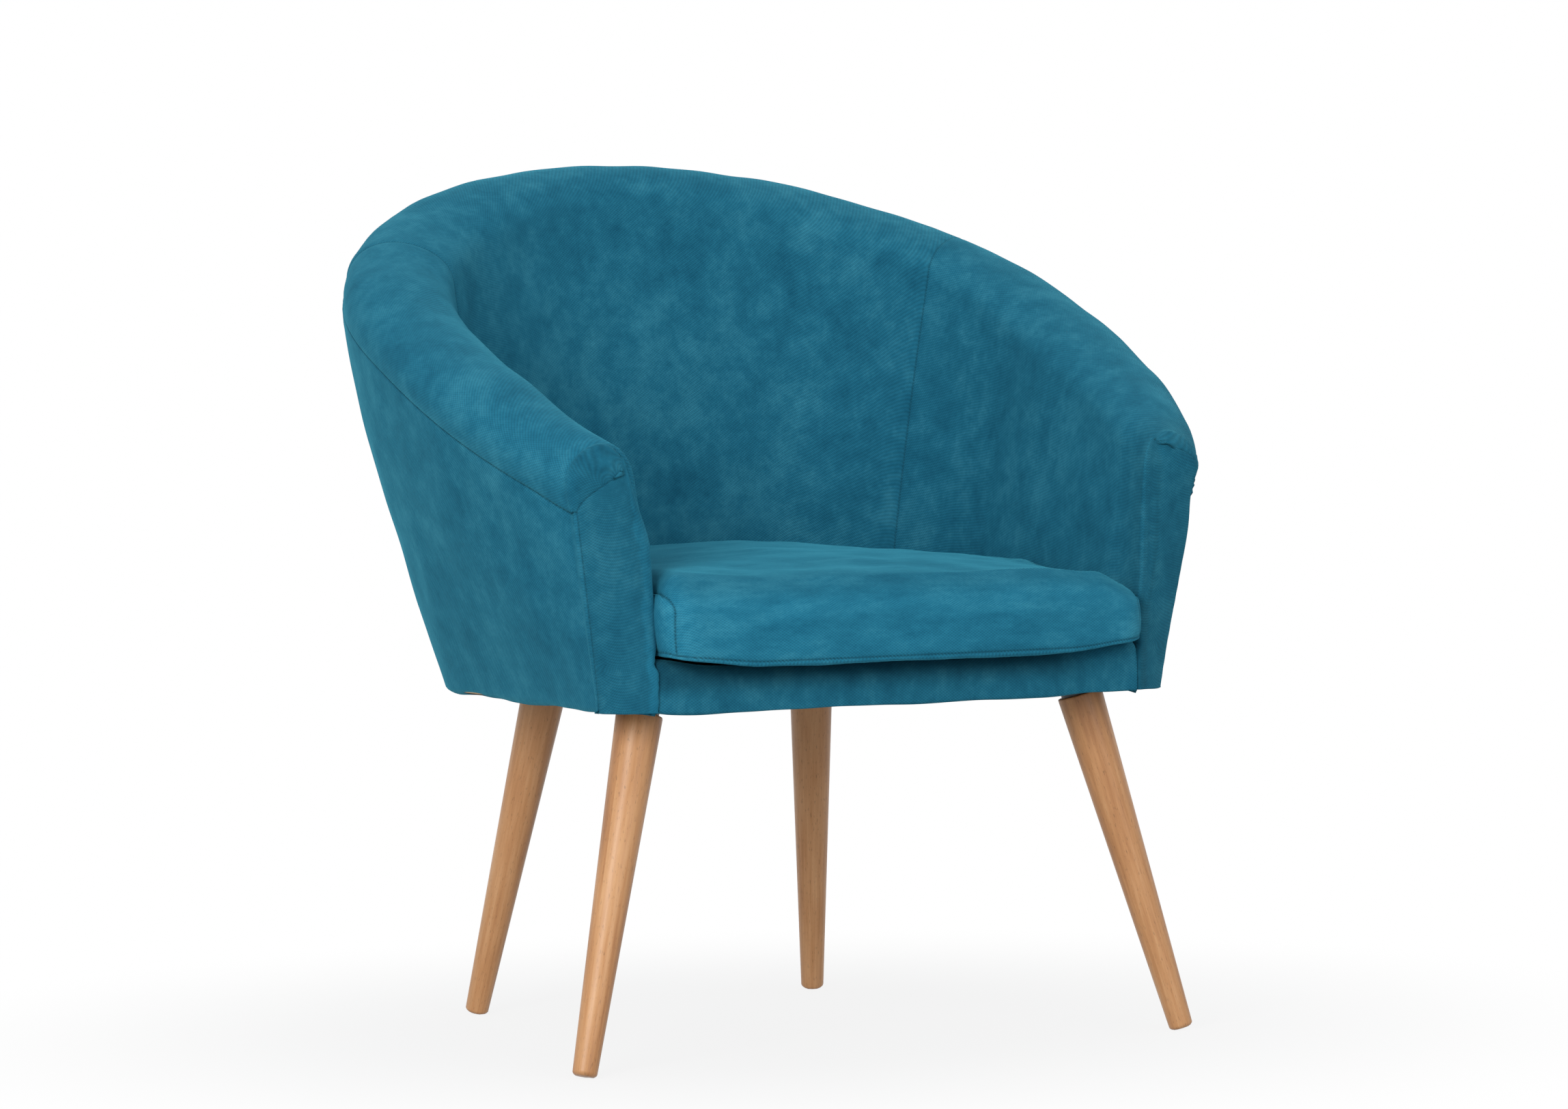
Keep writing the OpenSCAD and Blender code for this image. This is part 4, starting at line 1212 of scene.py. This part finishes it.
@dataclass
class Border:
    """The strip under the cushion's front, between the two arms, and its padding.

    Half is half its length, front and top are where its face and its upper edge lie, and top_r and low_r are
    the roundings of its two edges.
    """

    STEPS = 150
    COVER_T = 2.0
    FOAM_T = 8.0

    shell: Shell
    velvet: Material
    foam: Material
    half: float = 239.8
    front: float = -280.0
    top: float = 351.5
    top_r: float = 14.0
    low_r: float = 3.0

    def path(self, inset: float) -> Array:
        """Gives the section's y and z from behind its top edge, over and down the front, to under the rail.

        Args:
            inset: how far the section is drawn in, in millimetres.

        Returns:
            The points in order.
        """
        r, low = self.top_r, self.low_r
        front, top, foot = self.front + inset, self.top - inset, self.shell.under_h + inset
        bend = np.linspace(0, math.pi / 2, 7)
        over = np.stack([front + r - r * np.sin(bend), top - r + r * np.cos(bend)], -1)
        down = np.stack([np.full(15, front), mix(top - r, foot + low, np.linspace(0, 1, 17)[1:-1])], -1)
        under = np.stack([front + low - low * np.cos(bend), foot + low - low * np.sin(bend)], -1)
        back = np.stack([np.linspace(-244.0, front + r, 8)[:-1], np.full(7, top)], -1)
        tail = np.stack([np.linspace(front + low, -239.0, 8)[1:], np.full(7, foot)], -1)
        return np.concatenate([back, over, down, under, tail])

    def swept(self, x: Array, path: Array) -> Array:
        """Gives the section's points at each x."""
        return np.stack([np.broadcast_to(v, (len(x), len(path))) for v in (x, path[:, 0], path[:, 1])], -1)

    def build(self) -> None:
        """Builds the border's cover, whose top edge is uneven and carries a painted shadow, and whose ends are
        turned in, and its foam.
        """
        x = np.concatenate([[-1, -1], crowded(self.STEPS, 0.9) * 2 - 1, [1, 1]])[:, None] * self.half
        turned_in = np.concatenate([[14.0, 4.0], np.zeros(self.STEPS + 1), [4.0, 14.0]])[:, None]
        path = self.path(0.0)
        y, z = path.T
        grid = self.swept(x, path)
        face = bell(z - 338.0, 22.0) * (y < self.front + 1)
        grid[..., 1] -= 2.0 * face * (1 - (x / self.half) ** 8)
        droop = 1.8 + 2.0 * (1 - (x / self.half) ** 6) + 0.9 * bell(x + 120, 90)
        grid[..., 2] -= droop * ease((332.0 - z) / 15.0) * ease((-262.0 - y) / 10.0)
        lift = 9.0 * bell(x + self.half, 38) + 7.0 * ease((x - 110) / 90)
        grid[..., 2] += lift * ease((z - 335.0) / 12.0)
        cloth, everywhere = Cloth(grid, flip=True), np.ones(grid.shape[:2])
        left, right = np.abs(x + self.half) * everywhere, np.abs(x - self.half) * everywhere
        cloth.upholster([(left, 0.35), (right, 0.12)], 51)
        # painted shadow along the border's top edge under the cushion's overhang, fading out towards the right
        # end
        cloth.nap = -0.45 * ease((z - 324.0) / 18.0) * (1 - ease((x - 140) / 70)) * everywhere
        cloth.grid[..., 1] += turned_in * (cloth.grid[..., 1] < -262.0)
        cloth.grid[..., 0] += turned_in * 0.06 * np.sign(x)
        cover = cloth.make("front_border", self.COVER_T)
        core = self.swept(np.linspace(-1, 1, 41)[:, None] * (self.half - 2), self.path(FOAM_IN))
        fit(cover, self.velvet, "velvet", "front_cover", fill=0.8)
        fit(Cloth(core, flip=True).make("border_foam", self.FOAM_T), self.foam, "foam", "front_foam",
            fill=0.8)


@dataclass
class Cushion:
    """The loose seat cushion: boxed sides and a crowned top panel that rolls down over the front.

    FINE and COARSE are the steps round the cover and round its simulation, whose swelling is MOST at most.
    The tables sides and fronts give the section from the bottom's edge to the crown's: shares of edge inwards
    and of boxing upwards.
    """

    FRAMES = 20
    MOST = 7.0
    FINE = 440
    COARSE = 176
    CORE_STEPS = 120
    POINTS = 160
    CORE_IN = 11.0
    CROWN_STEPS = 40
    CROWN_POWER = 2.2
    BASE_STEPS = 15
    STRIP_ROUNDING = 11.0
    SWELLING = {"use_pressure": True, "uniform_pressure_force": 5.0, "quality": 6, "mass": 0.25,
                "tension_stiffness": 18.0, "compression_stiffness": 18.0, "bending_stiffness": 0.4}

    velvet: Material
    foam: Material
    low: float = 360.3
    half: float = 236.5
    corner: float = 30.0
    front: float = -316.0
    bow: float = 6.0
    back: float = 168.0
    mid: float = -3.0
    boxing: float = 54.0
    crown: float = 89.0
    edge: float = 13.0
    centre_y: float = -40.0
    tilt: float = 0.036
    sides: tuple[tuple[float, float], ...] = (
        (1, 0), (0.25, 0.02), (0, 0.1), (-0.1, 0.5), (0, 0.96), (0.16, 1), (0.45, 1.13), (1, 1.26))
    fronts: tuple[tuple[float, float], ...] = (
        (1, 0), (0.3, 0.02), (0, 0.1), (0.03, 0.37), (0.16, 0.62), (0.5, 0.86), (1.05, 1.06), (1.9, 1.24))

    def outline(self, count: int) -> tuple[Array, Array, Array]:
        """Gives the cushion's plan, walked evenly from the front's middle over the right side and back.

        Args:
            count: number of steps round it.

        Returns:
            Its points, each one's share of the front's form, and its distance along the way in millimetres.
        """
        t = np.linspace(0, 1, self.POINTS)
        y, r = self.front + self.bow, self.corner
        turn = t * math.pi / 2
        front = np.stack([(self.half - r) * t, y - self.bow * (1 - t * t), np.ones(self.POINTS)], -1)
        bend = np.stack([self.half - r + r * np.sin(turn), y + r - r * np.cos(turn), np.cos(turn)], -1)
        side = np.stack([self.half - 2.0 * np.sin(math.pi * t), mix(y + r, self.mid, t),
                         np.zeros(self.POINTS)], -1)
        rear = np.stack([self.half * np.cos(turn) ** 0.75,
                         self.mid + (self.back - self.mid) * np.sin(turn) ** 0.75, np.zeros(self.POINTS)], -1)
        right = np.concatenate([front, bend[1:], side[1:], rear[1:]])
        left = right[-2::-1] * np.array([-1.0, 1.0, 1.0])
        loop = np.concatenate([right, left])
        walked = distances(loop[:, :2])
        crowd = sum(bell(walked - c, 9.0) for c in (self.strip_start(), walked[-1] - self.strip_start()))
        packed = np.concatenate([[0], np.cumsum(np.diff(walked) * (1 + 4 * (crowd[1:] + crowd[:-1]) / 2))])
        at = np.interp(np.linspace(0, packed[-1], count + 1), packed, walked)
        even = np.stack([np.interp(at, walked, loop[:, k]) for k in range(3)], -1)
        return even[:, :2], even[:, 2], at

    def strip_start(self) -> float:
        """Gives the distance along the outline from the front's middle to the end of the boxing."""
        return (self.half - self.corner) + self.corner * math.pi / 2 * 0.55

    def profile(self, t: Array, share: Array) -> tuple[Array, Array]:
        """Gives a section's shares of edge inwards and boxing upwards, by smooth curves through the tables.

        Args:
            t: place on the section, from 0 at the bottom's edge to 7 at the crown's.
            share: share of the front's form.

        Returns:
            The inward and upward shares.
        """
        tables = np.array([self.sides, self.fronts])
        k = np.clip(np.floor(t).astype(int), 0, 6)
        f = (t - k)[..., None]
        p = [tables[:, np.clip(k + j, 0, 7)] for j in (-1, 0, 1, 2)]
        slope, bow = p[2] - p[0], 2 * p[0] - 5 * p[1] + 4 * p[2] - p[3]
        curve = p[1] + 0.5 * f * (slope + f * (bow + f * (3 * (p[1] - p[2]) + p[3] - p[0])))
        blend = mix(curve[0], curve[1], share[..., None])
        return blend[..., 0], blend[..., 1]

    def form(self, columns: int, inset: float = 0.0) -> tuple[Array, Array, Array]:
        """Gives the plain cushion's points: bottom, edge and crown, each row a loop round it.

        The crown rises by (1 - |x|^p)(1 - |y|^p) of its height, p being CROWN_POWER, and stands higher on the
        left. The front edge sags in its middle, and its right corner has sunk.

        Args:
            columns: number of steps round the cushion.
            inset: how far the whole cushion is drawn in, in millimetres.

        Returns:
            The grid, and each point's distance round the cushion and place on the section.
        """
        xy, share, walked = self.outline(columns)
        step = np.gradient(xy, axis=0)
        step[0] = step[-1] = (1, 0)
        out = unit(np.stack([step[:, 1], -step[:, 0]], -1))
        t = np.concatenate([np.linspace(0, 1, 5)[:-1], 1 + 2 * crowded(12, -0.7)[:-1],
                            3 + 4 * crowded(30, -0.6)])
        rows = np.broadcast_to(t, (columns + 1, len(t)))
        fronts = np.broadcast_to(share[:, None], rows.shape)
        side_in, _ = self.profile(rows, np.zeros(rows.shape))
        inwards, up = self.profile(rows, fronts)
        edge_xy = xy[:, None] - out[:, None] * (np.minimum(inwards, side_in) * self.edge + inset)[..., None]
        edge_xy[..., 1] += np.maximum(0, inwards - side_in) * self.edge
        edge = raised(edge_xy, self.low + inset + up * self.boxing * (1 - 2 * inset / self.crown))
        q = np.linspace(1, 0, self.CROWN_STEPS + 1)[1:][None]
        rim = edge[:, -1]
        centre = np.array([0.0, self.centre_y])
        top_xy = mix(centre, rim[:, None, :2], q[..., None])
        half_x = rim[:, 0].max()
        reach = np.where(top_xy[..., 1] < self.centre_y, self.centre_y - rim[0, 1],
                         rim[:, 1].max() - self.centre_y)
        across, deep = top_xy[..., 0] / half_x, (top_xy[..., 1] - self.centre_y) / reach
        bulge = (1 - np.abs(across) ** self.CROWN_POWER) * (1 - np.abs(deep) ** self.CROWN_POWER)
        top_z = mix(rim[:, None, 2], self.low + self.crown - inset, np.clip(bulge, 0, 1))
        top_z = top_z - self.tilt * top_xy[..., 0] * np.clip(bulge, 0, 1) ** 0.3
        q = np.linspace(0, 1, self.BASE_STEPS + 1)[:-1][None]
        base_xy = mix(centre, edge[:, :1, :2], q[..., None])
        base = raised(base_xy, np.full(base_xy.shape[:2], self.low + inset))
        grid = np.concatenate([base, edge, raised(top_xy, top_z)], 1)
        sag = 10.0 * ease((-286.0 - grid[..., 1]) / 24.0) * (1 - ease((grid[..., 2] - 362.0) / 40.0))
        sag *= 1 - 0.62 * ease((np.abs(grid[..., 0]) - 150.0) / 80.0)
        grid[..., 2] -= sag
        height = np.clip((grid[..., 2] + inset - self.low - 20.0) / 50.0, 0, 1)
        x = grid[..., 0] * (1 + inset / self.half)
        drop = (4.0 * ease((x - 130.0) / 70.0) + 15.0 * ease((x - 190.0) / 38.0)
                - 3.0 * ease((-x - 140.0) / 90.0))
        grid[..., 2] -= drop * height * ease((-95.0 - grid[..., 1]) / 165.0)
        grid[..., 0] += (3.0 * np.sign(grid[..., 0]) * ease((np.abs(grid[..., 0]) - 190) / 45)
                         * ease((-255 - grid[..., 1]) / 40))
        place = np.concatenate([q - 1, t[None], 7 + np.linspace(0, 1, self.CROWN_STEPS + 1)[1:][None]], 1)
        return grid, np.broadcast_to(walked[:, None], grid.shape[:2]), np.broadcast_to(place, grid.shape[:2])

    def seam_distance(self, grid: Array, walked: Array, place: Array) -> tuple[Array, Array]:
        """Gives each point's distance from the cushion's seams, and whether it lies on the boxing.

        The boxing is a long strip with its two upper front corners rounded, between the low seam all the way
        round and the top seam, which drops to the low one at the front corners.

        Args:
            grid: points.
            walked: distance round the cushion.
            place: place on the section.

        Returns:
            The distances in millimetres, and a mask of the boxing.
        """
        total = walked.max()
        beyond = np.minimum(walked, total - walked) - self.strip_start()
        heights = steps_along(grid, 1)
        low = np.array([np.interp(2.0, place[0], row) for row in heights])[:, None]
        top = np.array([np.interp(5.0, place[0], row) for row in heights])[:, None]
        from_low, from_top = heights - low, top - heights
        r = self.STRIP_ROUNDING
        inside = np.minimum(beyond, from_top)
        corner = r - np.hypot(np.minimum(beyond - r, 0), np.minimum(from_top - r, 0))
        strip = np.where((beyond < r) & (from_top < r), corner, inside)
        flank = np.where(from_low > -1, np.abs(strip), 1e3)
        return np.minimum(flank, np.abs(from_low)), (strip > 0) & (from_low > 0)

    def swollen(self, columns: int) -> Array:
        """Gives how a cloth simulation swells the plain cushion, pinned along its seams and underneath.

        Args:
            columns: number of steps round the cushion.

        Returns:
            Each point's move in millimetres, at most MOST.
        """
        grid, walked, place = self.form(columns)
        distance, _ = self.seam_distance(grid, walked, place)
        loop = grid[:-1]
        corner = np.arange(loop[..., 0].size).reshape(loop.shape[:2])
        mesh, _ = quad_mesh("cushion_trial", loop, np.concatenate([corner, corner[:1]]))
        trial = linked("cushion_trial", mesh)
        pins = trial.vertex_groups.new(name="sewn")
        held = np.maximum(bell(distance[:-1], 5.0), place[:-1] < 0.5).ravel()
        for weight in (1.0, 0.6, 0.25):
            chosen = np.flatnonzero((held > weight - 0.2) & (held <= weight + 0.2))
            pins.add(chosen.tolist(), weight, "REPLACE")
        cloth = trial.modifiers.new("swell", "CLOTH")
        for key, value in self.SWELLING.items():
            setattr(cloth.settings, key, value)
        cloth.settings.effector_weights.gravity = 0.0
        cloth.settings.vertex_group_mass = pins.name
        cloth.point_cache.frame_start, cloth.point_cache.frame_end = 1, self.FRAMES
        for frame in range(1, self.FRAMES + 1):
            bpy.context.scene.frame_set(frame)
        shaped = trial.evaluated_get(bpy.context.evaluated_depsgraph_get())
        places = np.empty(loop.size)
        shaped.data.vertices.foreach_get("co", places)
        move = places.reshape(loop.shape) / MM - loop
        bpy.context.scene.frame_set(1)
        bpy.data.objects.remove(trial)
        bpy.data.meshes.remove(mesh)
        size = np.linalg.norm(move, axis=-1, keepdims=True)
        move *= np.minimum(1.0, self.MOST / np.maximum(size, 1e-6))
        move[:, place[0] < 0.5] = 0.0
        LOG.info("the cushion swelled by %.1f mm at most, %.1f mm on average", size.max(), size.mean())
        return np.concatenate([move, move[:1]])

    def build(self) -> None:
        """Builds the cushion's cover and its foam core."""
        grid, walked, place = self.form(self.FINE)
        coarse = self.swollen(self.COARSE)
        at = np.linspace(0, self.COARSE, self.FINE + 1)
        k = np.minimum(at.astype(int), self.COARSE - 1)
        grid = grid + mix(coarse[k], coarse[k + 1], (at - k)[:, None, None])
        distance, boxing = self.seam_distance(grid, walked, place)
        weave = np.where(boxing[..., None], np.stack([walked, grid[..., 2]], -1),
                         np.stack([grid[..., 0], grid[..., 1] + grid[..., 2]], -1))
        # painted light on the cushion's bottom and boxing, below the crown's overhang, and a slight painted
        # shade on the crown
        cloth = Cloth(grid, weave=weave, nap=0.2 * ease((6.4 - place) / 1.8) - 0.04)
        cloth.upholster([(distance, 0.85)], 61, 1.3)
        cloth.grid[-1] = cloth.grid[0] = (cloth.grid[0] + cloth.grid[-1]) / 2
        cloth.grid[:, 0] = cloth.grid[:, 0].mean(0)
        cloth.grid[:, -1] = cloth.grid[:, -1].mean(0)
        cover = cloth.make("cushion_cover")
        core = Cloth(self.form(self.CORE_STEPS, self.CORE_IN)[0]).make("cushion_core")
        for made in (cover, core):
            weld(made)
        fit(cover, self.velvet, "velvet", "cushion_top", "cushion_boxing", "cushion_bottom",
            body="seat_cushion", fill=0.85)
        fit(core, self.foam, "foam", "cushion_foam", body="seat_cushion", fill=0.85)


@dataclass
class Underside:
    """The cloth deck over the springs and the dust cover under the seat.

    DECK_EDGE and DUST_EDGE are the levels of their edges, and DUST_IN is how far the dust cover's edge lies in
    from the outer face.
    """

    RING_STEPS = 240
    DECK_EDGE = 359.2
    DUST_EDGE = 316.9
    DUST_IN = 7.3

    shell: Shell
    deck_cloth: Material
    dust_cloth: Material

    def loops(self, ring: Array, centre_y: float, count: int) -> tuple[Array, Array]:
        """Gives loops from a ring, closed at the front, to its middle, and their shares of the way."""
        ring, share = np.concatenate([ring, ring[:1]]), np.linspace(0, 1, count)[None]
        return mix(ring[:, None], np.array([0.0, centre_y]), share[..., None]), share

    def build(self) -> None:
        """Builds both cloths as loops that shrink inwards, the deck crowned and the dust cover sagging."""
        shell = self.shell
        s = np.linspace(-shell.hidden_tip, shell.hidden_tip, self.RING_STEPS + 1)
        ring = shell.inner(s, np.full(s.shape, shell.deck_z)) - shell.outwards(s) * 0.8
        ring[:, 1] = np.maximum(ring[:, 1], -243.0)
        flat, share = self.loops(ring, -40.0, 34)
        crown = self.DECK_EDGE + 0.7 * ease(share * 3) + 0.15 * ripple(raised(flat, flat[..., 0] * 0), 60, 71)
        deck = Cloth(raised(flat, crown), flip=True)
        level = np.full(s.shape, shell.under_h)
        flat, share = self.loops(shell.outer(s, level) + shell.inwards(s, level) * self.DUST_IN, -20.0, 40)
        lift = ripple(raised(flat, flat[..., 0] * 0), 46, 81)
        sag = (self.DUST_EDGE - 4.0 * ease((share - 0.5) / 0.4)
               + lift * (0.12 + 0.9 * ease((share - 0.5) / 0.3)))
        dust = Cloth(raised(flat, sag))
        for cloth, name, node, stuff, slot, thick, size, area in (
                (deck, "deck_cloth", "seat_deck", self.deck_cloth, "deck_felt", 4.0, (0.485, 0.415), 0.189),
                (dust, "dust_cloth", "dust_cover", self.dust_cloth, "dust_cloth", 0.6,
                 (0.548, 0.465), 0.237)):
            piece = cloth.make(name, thick)
            fit(piece, stuff, slot, node)


@dataclass
class Legs:
    """Four round tapered legs that splay outwards, trimmed level at the floor.

    The roundings are what the radius loses at the first rings and at the last ones. Places are each leg's
    name, the x and y where its axis meets the underside, with 0 where the node's foot gives y, and the
    direction in which it leans, in degrees from +X.
    """

    SIDES = 72
    RINGS = 60
    TOP_ROUNDING = (0.5, 0.15)
    FOOT_ROUNDING = (0.5, 1.5, 2.6)

    wood: Material
    under_h: float = 315.0
    top_d: float = 41.4
    foot_d: float = 21.6
    tilt: float = 16.1
    plate_low: float = 314.2
    places: tuple[tuple[str, float, float, float], ...] = (
        ("leg_front_left", -221.0, -205.6, 207.4), ("leg_front_right", 221.0, -205.6, -27.4),
        ("leg_rear_left", -140.5, 0.0, 117.0), ("leg_rear_right", 140.5, 0.0, 64.5))

    def build(self) -> None:
        """Turns each leg about its own axis and trims its foot at the floor."""
        lean = math.radians(self.tilt)
        first = (self.under_h - self.plate_low + self.top_d / 2 * math.sin(lean) + 0.3) / math.cos(lean)
        last = (self.under_h - self.foot_d / 2 * math.sin(lean) + 1.0) / math.cos(lean)
        for name, x, y, splay in self.places:
            _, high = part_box(name)
            if y == 0.0:
                y = self.rear_y(high, splay, last)
            down = np.concatenate([[0, 0.6, 1.6], np.linspace(4, last - first - 4, self.RINGS),
                                   last - first - np.array([2.8, 1.7, 0.7, 0.0])])
            radius = mix(self.top_d / 2, self.foot_d / 2, down / down[-1])
            radius[:2] -= self.TOP_ROUNDING
            radius[-3:] -= self.FOOT_ROUNDING
            down = np.concatenate([[0], down, [down[-1]]])
            radius = np.concatenate([[0], radius, [0]])
            turn = np.linspace(0, TURN, self.SIDES + 1)[:, None]
            local = np.stack([radius * np.cos(turn), radius * np.sin(turn),
                              np.broadcast_to(-first - down, (len(turn), len(down)))], -1)
            spin = Matrix.Rotation(math.radians(splay), 3, "Z") @ Matrix.Rotation(-lean, 3, "Y")
            grid = local @ np.array(spin).T + np.array([x, y, self.under_h])
            grid[..., 2] = np.maximum(grid[..., 2], 0.0)
            weave = np.stack([np.broadcast_to(turn * 14.0, grid.shape[:2]),
                              np.broadcast_to(down, grid.shape[:2])], -1)
            leg = Cloth(grid, weave=weave + np.array([x * 3.1, y * 2.3]), flip=True).make(name + "_turned")
            weld(leg)
            fit(leg, self.wood, "beech", name)

    def rear_y(self, high: Array, splay: float, last: float) -> float:
        """Gives a rear leg's y where its axis meets the underside, from its foot's place in the frame.

        Args:
            high: upper corner of the node's box, in metres.
            splay: the direction in which the leg leans, in degrees.
            last: the leg's length along its axis, in millimetres.

        Returns:
            The y in millimetres.
        """
        reach = math.sin(math.radians(self.tilt)) * last
        foot_y = high[1] / MM - self.foot_d / 2
        return foot_y - reach * math.sin(math.radians(splay))


@dataclass
class Frame:
    """The carried-over nodes: plywood frame, boards, springs, plates and fasteners."""

    nodes: dict[str, Piece]

    def dress(self) -> None:
        """Gives every node that stays its finish: plywood, unless its name says otherwise."""
        finishes = {"lining": LINING_BOARD, "spring": SPRING_STEEL, "leg_plate": BLACK_PAINT, "bolts": ZINC,
                    "screws": ZINC}
        made: dict[str, Material] = {}
        for name, node in self.nodes.items():
            if node.hide_render:
                continue
            finish = next((f for key, f in finishes.items() if key in name), PLYWOOD)
            if finish.name not in made:
                made[finish.name] = finish.material()
            if not node.material_slots:
                node.data.materials.append(made[finish.name])
            for place in node.material_slots:
                place.material = made[finish.name]
        LOG.info("dressed the nodes that stay")


@dataclass
class Studio:
    """A white floor, soft lamps and the camera.

    The camera's eye is in metres, its angles are in radians, and its lens is in millimetres for a sensor 36 mm
    wide.
    """

    AIM_Z = 0.42

    eye: tuple[float, float, float] = (-2.30699532, -4.48169962, 0.610847257)
    yaw: float = 0.480588032
    pitch: float = 0.0346410476
    roll: float = -0.0163268922
    lens: float = 125.436

    def build(self) -> None:
        """Builds the floor, the world, the lamps and the camera."""
        self.floor()
        self.sky()
        self.lamp("key", (-2.7, -2.3, 1.5), 1.6, 70.0)
        self.lamp("front", (0.5, -3.6, 1.2), 1.8, 22.0)
        self.lamp("top", (0.2, -0.3, 2.8), 1.5, 5.0)
        self.camera()

    def seen(self, g: Graph) -> Socket:
        """Gives 1 for rays that show the background: from the camera, off gloss and through glass.

        Args:
            g: the graph that gets the nodes.

        Returns:
            The output.
        """
        path = g.node("ShaderNodeLightPath")
        value = path.outputs["Is Camera Ray"]
        for other in ("Is Glossy Ray", "Is Transmission Ray"):
            value = g.sum_up("MAXIMUM", value, path.outputs[other])
        return value

    def sky(self) -> None:
        """Makes the world white to the camera and a soft grey light to everything else."""
        world = bpy.data.worlds.new("studio")
        bpy.context.scene.world = world
        g = Graph(world)
        light, white = g.node("ShaderNodeBackground"), g.node("ShaderNodeBackground")
        light.inputs[0].default_value = (0.95, 0.98, 1.0, 1.0)
        light.inputs[1].default_value = 0.56
        white.inputs[0].default_value = (1.0, 1.0, 1.0, 1.0)
        g.blend(self.seen(g), light, white, "ShaderNodeOutputWorld")

    def floor(self) -> None:
        """Lays a pale floor that keeps the shadow near the chair and fades to white farther out."""
        mesh = bpy.data.meshes.new("floor")
        side = 14.0
        mesh.from_pydata([(-side, -side, 0), (side, -side, 0), (side, side, 0), (-side, side, 0)], [],
                         [(0, 1, 2, 3)])
        floor, g = linked("floor", mesh), Graph(bpy.data.materials.new("floor_white"))
        paint, glow = g.node("ShaderNodeBsdfDiffuse"), g.node("ShaderNodeEmission")
        paint.inputs[0].default_value = (0.5, 0.5, 0.5, 1.0)
        glow.inputs[1].default_value = 1.0
        far = g.node("ShaderNodeVectorMath", operation="LENGTH")
        g.join(g.node("ShaderNodeTexCoord").outputs["Object"], far.inputs[0])
        fade = g.node("ShaderNodeMapRange", interpolation_type="SMOOTHSTEP")
        for key, value in (("From Min", 0.25), ("From Max", 0.9), ("To Min", 0.86)):
            fade.inputs[key].default_value = value
        g.join(far.outputs["Value"], fade.inputs[0])
        g.blend(g.scaled(fade.outputs[0], self.seen(g)), paint, glow, "ShaderNodeOutputMaterial")
        mesh.materials.append(g.owner)

    def lamp(self, name: str, place: tuple[float, float, float], size: float, power: float) -> None:
        """Hangs a square lamp that looks at the chair's middle.

        Args:
            name: the lamp's name.
            place: its place in metres.
            size: its side in metres.
            power: its power in watts.
        """
        light = bpy.data.lights.new(name, "AREA")
        light.shape, light.size, light.energy = "SQUARE", size, power
        back = unit(np.array(place) - np.array([0.0, 0.0, self.AIM_Z]))
        right = unit(np.cross([0.0, 0.0, 1.0], back))
        turned = Matrix(np.stack([right, np.cross(back, right), back], 1).tolist()).to_4x4()
        linked(name, light).matrix_world = Matrix.Translation(place) @ turned

    def camera(self) -> None:
        """Puts the camera at the photograph's angle: yaw from +Y, pitch downwards, roll about its axis."""
        data = bpy.data.cameras.new("camera")
        data.sensor_fit, data.sensor_width, data.lens = "HORIZONTAL", 36.0, self.lens
        data.clip_end = 100.0
        camera = linked("camera", data)
        sy, cy, sp, cp = math.sin(self.yaw), math.cos(self.yaw), math.sin(self.pitch), math.cos(self.pitch)
        look = Matrix(((cy, sy * sp, -sy * cp), (-sy, cy * sp, -cy * cp), (0.0, cp, sp))).to_4x4()
        camera.matrix_world = Matrix.Translation(self.eye) @ look @ Matrix.Rotation(self.roll, 4, "Z")
        bpy.context.scene.camera = camera


def main() -> None:
    """Loads the frame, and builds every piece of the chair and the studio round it."""
    logging.basicConfig(level=logging.INFO, format="%(name)s: %(message)s")
    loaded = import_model()
    bpy.context.scene.view_settings.view_transform = "Standard"
    shell, foam = Shell(), FOAM.material()
    velvet = Velvet()
    Tub(shell, velvet.material(NapAndPaintedLight.CLOUDY), foam).build()
    Border(shell, velvet.material(NapAndPaintedLight.UPRIGHT), foam).build()
    Cushion(velvet.material(NapAndPaintedLight.STREAKED), foam).build()
    Underside(shell, DECK_FELT.material(), DUST_CLOTH.material()).build()
    Legs(Beech().material()).build()
    Frame(loaded["nodes"]).dress()
    Studio().build()


if __name__ == "__main__":
    main()
